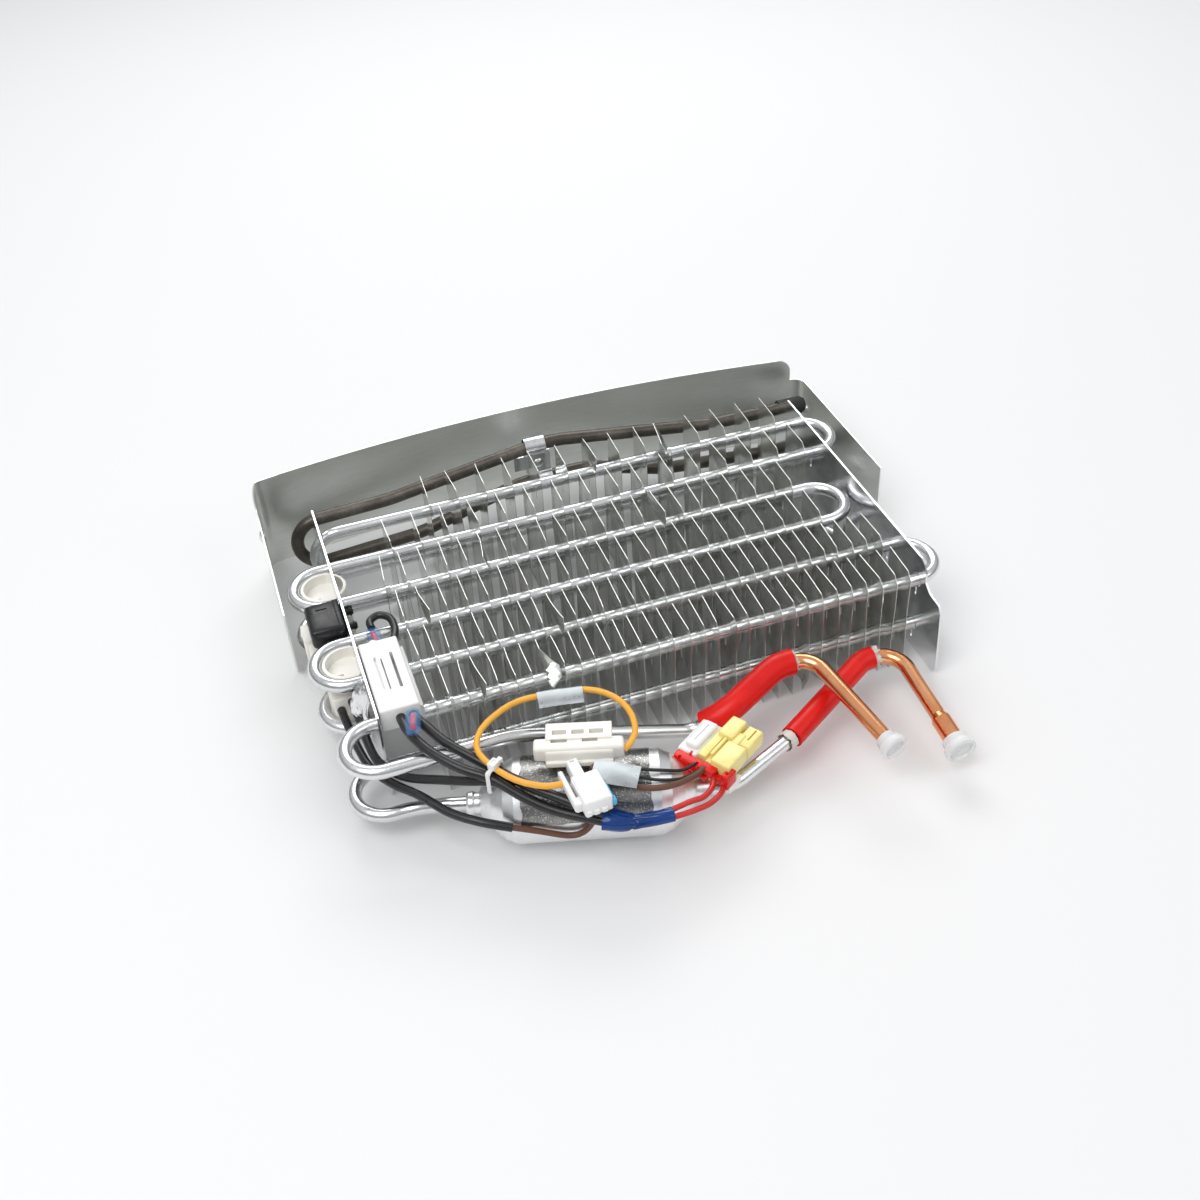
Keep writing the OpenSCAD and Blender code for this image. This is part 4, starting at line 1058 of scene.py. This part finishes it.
def on_barrel(u, v):
    along = FOIL_MIDDLE + u * FOIL_HALF + 1.1 * noise.noise(Vector((0, 5 * v, 1.7))) * abs(u) ** 8
    turn_by = math.radians(95 + v * (74 + 2.5 * noise.noise(Vector((6 * u, 0, 4.2)))))
    spot = Vector((along * 0.16, turn_by * 4.2, 0.5))
    crease = abs(noise.noise(spot)) * 0.45 + abs(noise.noise(spot * 2.7)) * 0.22
    r = ACC_R + 0.25 * max(0.0, 0.30 - crease)
    out = UP * math.sin(turn_by) + ACC_SIDE * math.cos(turn_by)
    return place(*(ACC_FROM + ACC_WAY * along + out * r))


foil = grid("foil_wrap", 110, 120, on_barrel)
edit(foil, FACE_OUT)
thicken(foil, 0.06)
dress(foil, 50, "grey_foil", "foil_patch")

# %% Flag label
FLAG_TURN = Matrix.Rotation(math.radians(-29), 3, "Z") @ Matrix.Rotation(math.radians(5), 3, "Y")
FLAG_AT = Vector((93.3, -78.2, 6.3))
FLAG_LONG, FLAG_WIDE = 10.6, 6.8


def on_flag(u, v):
    bow = 0.9 * (1 - v * v) - 0.35 * u * u + 0.25 * math.sin(3 * u + 2 * v) - 0.3
    return place(*(FLAG_AT + FLAG_TURN @ Vector((FLAG_LONG * u, FLAG_WIDE * v, bow * 0.6))))


flag = grid("flag_label_made", 36, 22, on_flag)
thicken(flag, 0.16)
dress(flag, 50, "label_film", "flag_label")

# %% [markdown]
# The other label is rolled round the orange wire and pressed flat in front of it, so its section
# is a drop: round about the wire, thin at the front.

# %% Label on the orange wire
def drop_radius(share, angle):
    reach = 8.6 if math.cos(angle) < 0 else 2.0
    height = 1.95 + 0.12 * math.sin(7 * share)
    return 1 / math.hypot(math.cos(angle) / reach, math.sin(angle) / height)


ALONG_WIRE = ((73.2, -23.8, 13), (84, -25.4, 13), (94.6, -27.7, 13))
sleeve = rolled("label_sleeve_made", places(ALONG_WIRE), 48, 20, drop_radius)
close_ends(sleeve)
dress(sleeve, 50, "label_film", "label_sleeve")

# %% [markdown]
# ## The cords' facts
# Each cord's row in the table holds its thickness, finish slot, far end and the pieces that lie on
# it. Here each cord's curve is only looked up by its name.

# %% Looking up the cords
for name, (d, slot, far_end, on_it) in CORDS.items():
    bpy.data.objects[name + "_soft"]
print(len(CORDS), "cords declared")

# %% [markdown]
# ## Floor and light
# A plain pale floor and soft lights, as in a studio. The floor is a little brighter to the camera
# than the light makes it, through Is Camera Ray, so that it reads as white and still keeps the
# object's shadow. Metal shows what it faces, so the same trick is played for glossy rays.

# %% Floor
put_down()
bpy.ops.mesh.primitive_plane_add(size=6, location=(0, 0, -0.0005))
floor = bpy.context.object
floor.name = "floor"
bench = Bench("floor_paper")
seen = bench.node("LightPath", output="Is Camera Ray")
glossy = bench.node("LightPath", output="Is Glossy Ray")
FLOOR_GLOW = 0.05
paper = bench.node("BsdfDiffuse", {}, {"Color": (0.82, 0.82, 0.825, 1)})
glow = bench.node("Emission", {}, {"Color": (1, 1, 1, 1), "Strength": 0.97})
bench.close(bench.node("MixShader", {}, {0: (seen + glossy) * FLOOR_GLOW, 1: paper, 2: glow}))
floor.data.materials.append(bench.owner)
print("floor laid")

# %% [markdown]
# The room's light is brightest overhead, like a ceiling of soft lamps, and falls off towards the
# walls. Bare metal needs that: under an even sky every tube would look like grey putty.

# %% World
WALL_LIGHT, CEILING_LIGHT = 0.275, 0.655
studio = bpy.data.worlds.new("studio")
bpy.context.scene.world = studio
bench = Bench("studio", studio)
seen = bench.node("LightPath", output="Is Camera Ray")
through = bench.node("LightPath", output="Is Transmission Ray")
heading = bench.node("TexCoord", output="Generated")
height = bench.node("SeparateXYZ", {}, {"Vector": heading}, output="Z")
strength = bench.between(height, WALL_LIGHT, CEILING_LIGHT, 0.05, 0.75, "SMOOTHSTEP")
room = bench.node("Background", {}, {"Color": (0.98, 0.99, 1.0, 1), "Strength": strength})
white = bench.node("Background", {}, {"Color": (1, 1, 1, 1), "Strength": 1.0})
bench.close(bench.node("MixShader", {}, {0: seen.math("MAXIMUM", seen, through), 1: room,
                                         2: white}), "World")
print("world set")


# %% Lamps
def lamp(name, at, aim, size, watts):
    light = bpy.data.lights.new(name, "AREA")
    light.shape = "RECTANGLE"
    light.size, light.size_y = size
    light.energy = watts
    way = (Vector(aim) - Vector(at)).to_track_quat("-Z", "Y")
    set_out(name, light).matrix_world = Matrix.Translation(at) @ way.to_matrix().to_4x4()


lamp("key", (-0.7, -0.5, 1.3), (0, 0, 0), (0.9, 0.9), 10)
lamp("fill", (0.9, -0.7, 0.9), (0, 0, 0.03), (0.8, 0.8), 2.3)
lamp("rear", (0.3, 1.1, 1.1), (0, 0, 0.03), (1.2, 0.7), 9)
print("lamps set")

# %% [markdown]
# ## The end
# The view layer is brought up to date.

# %% Last update
bpy.context.view_layer.update()
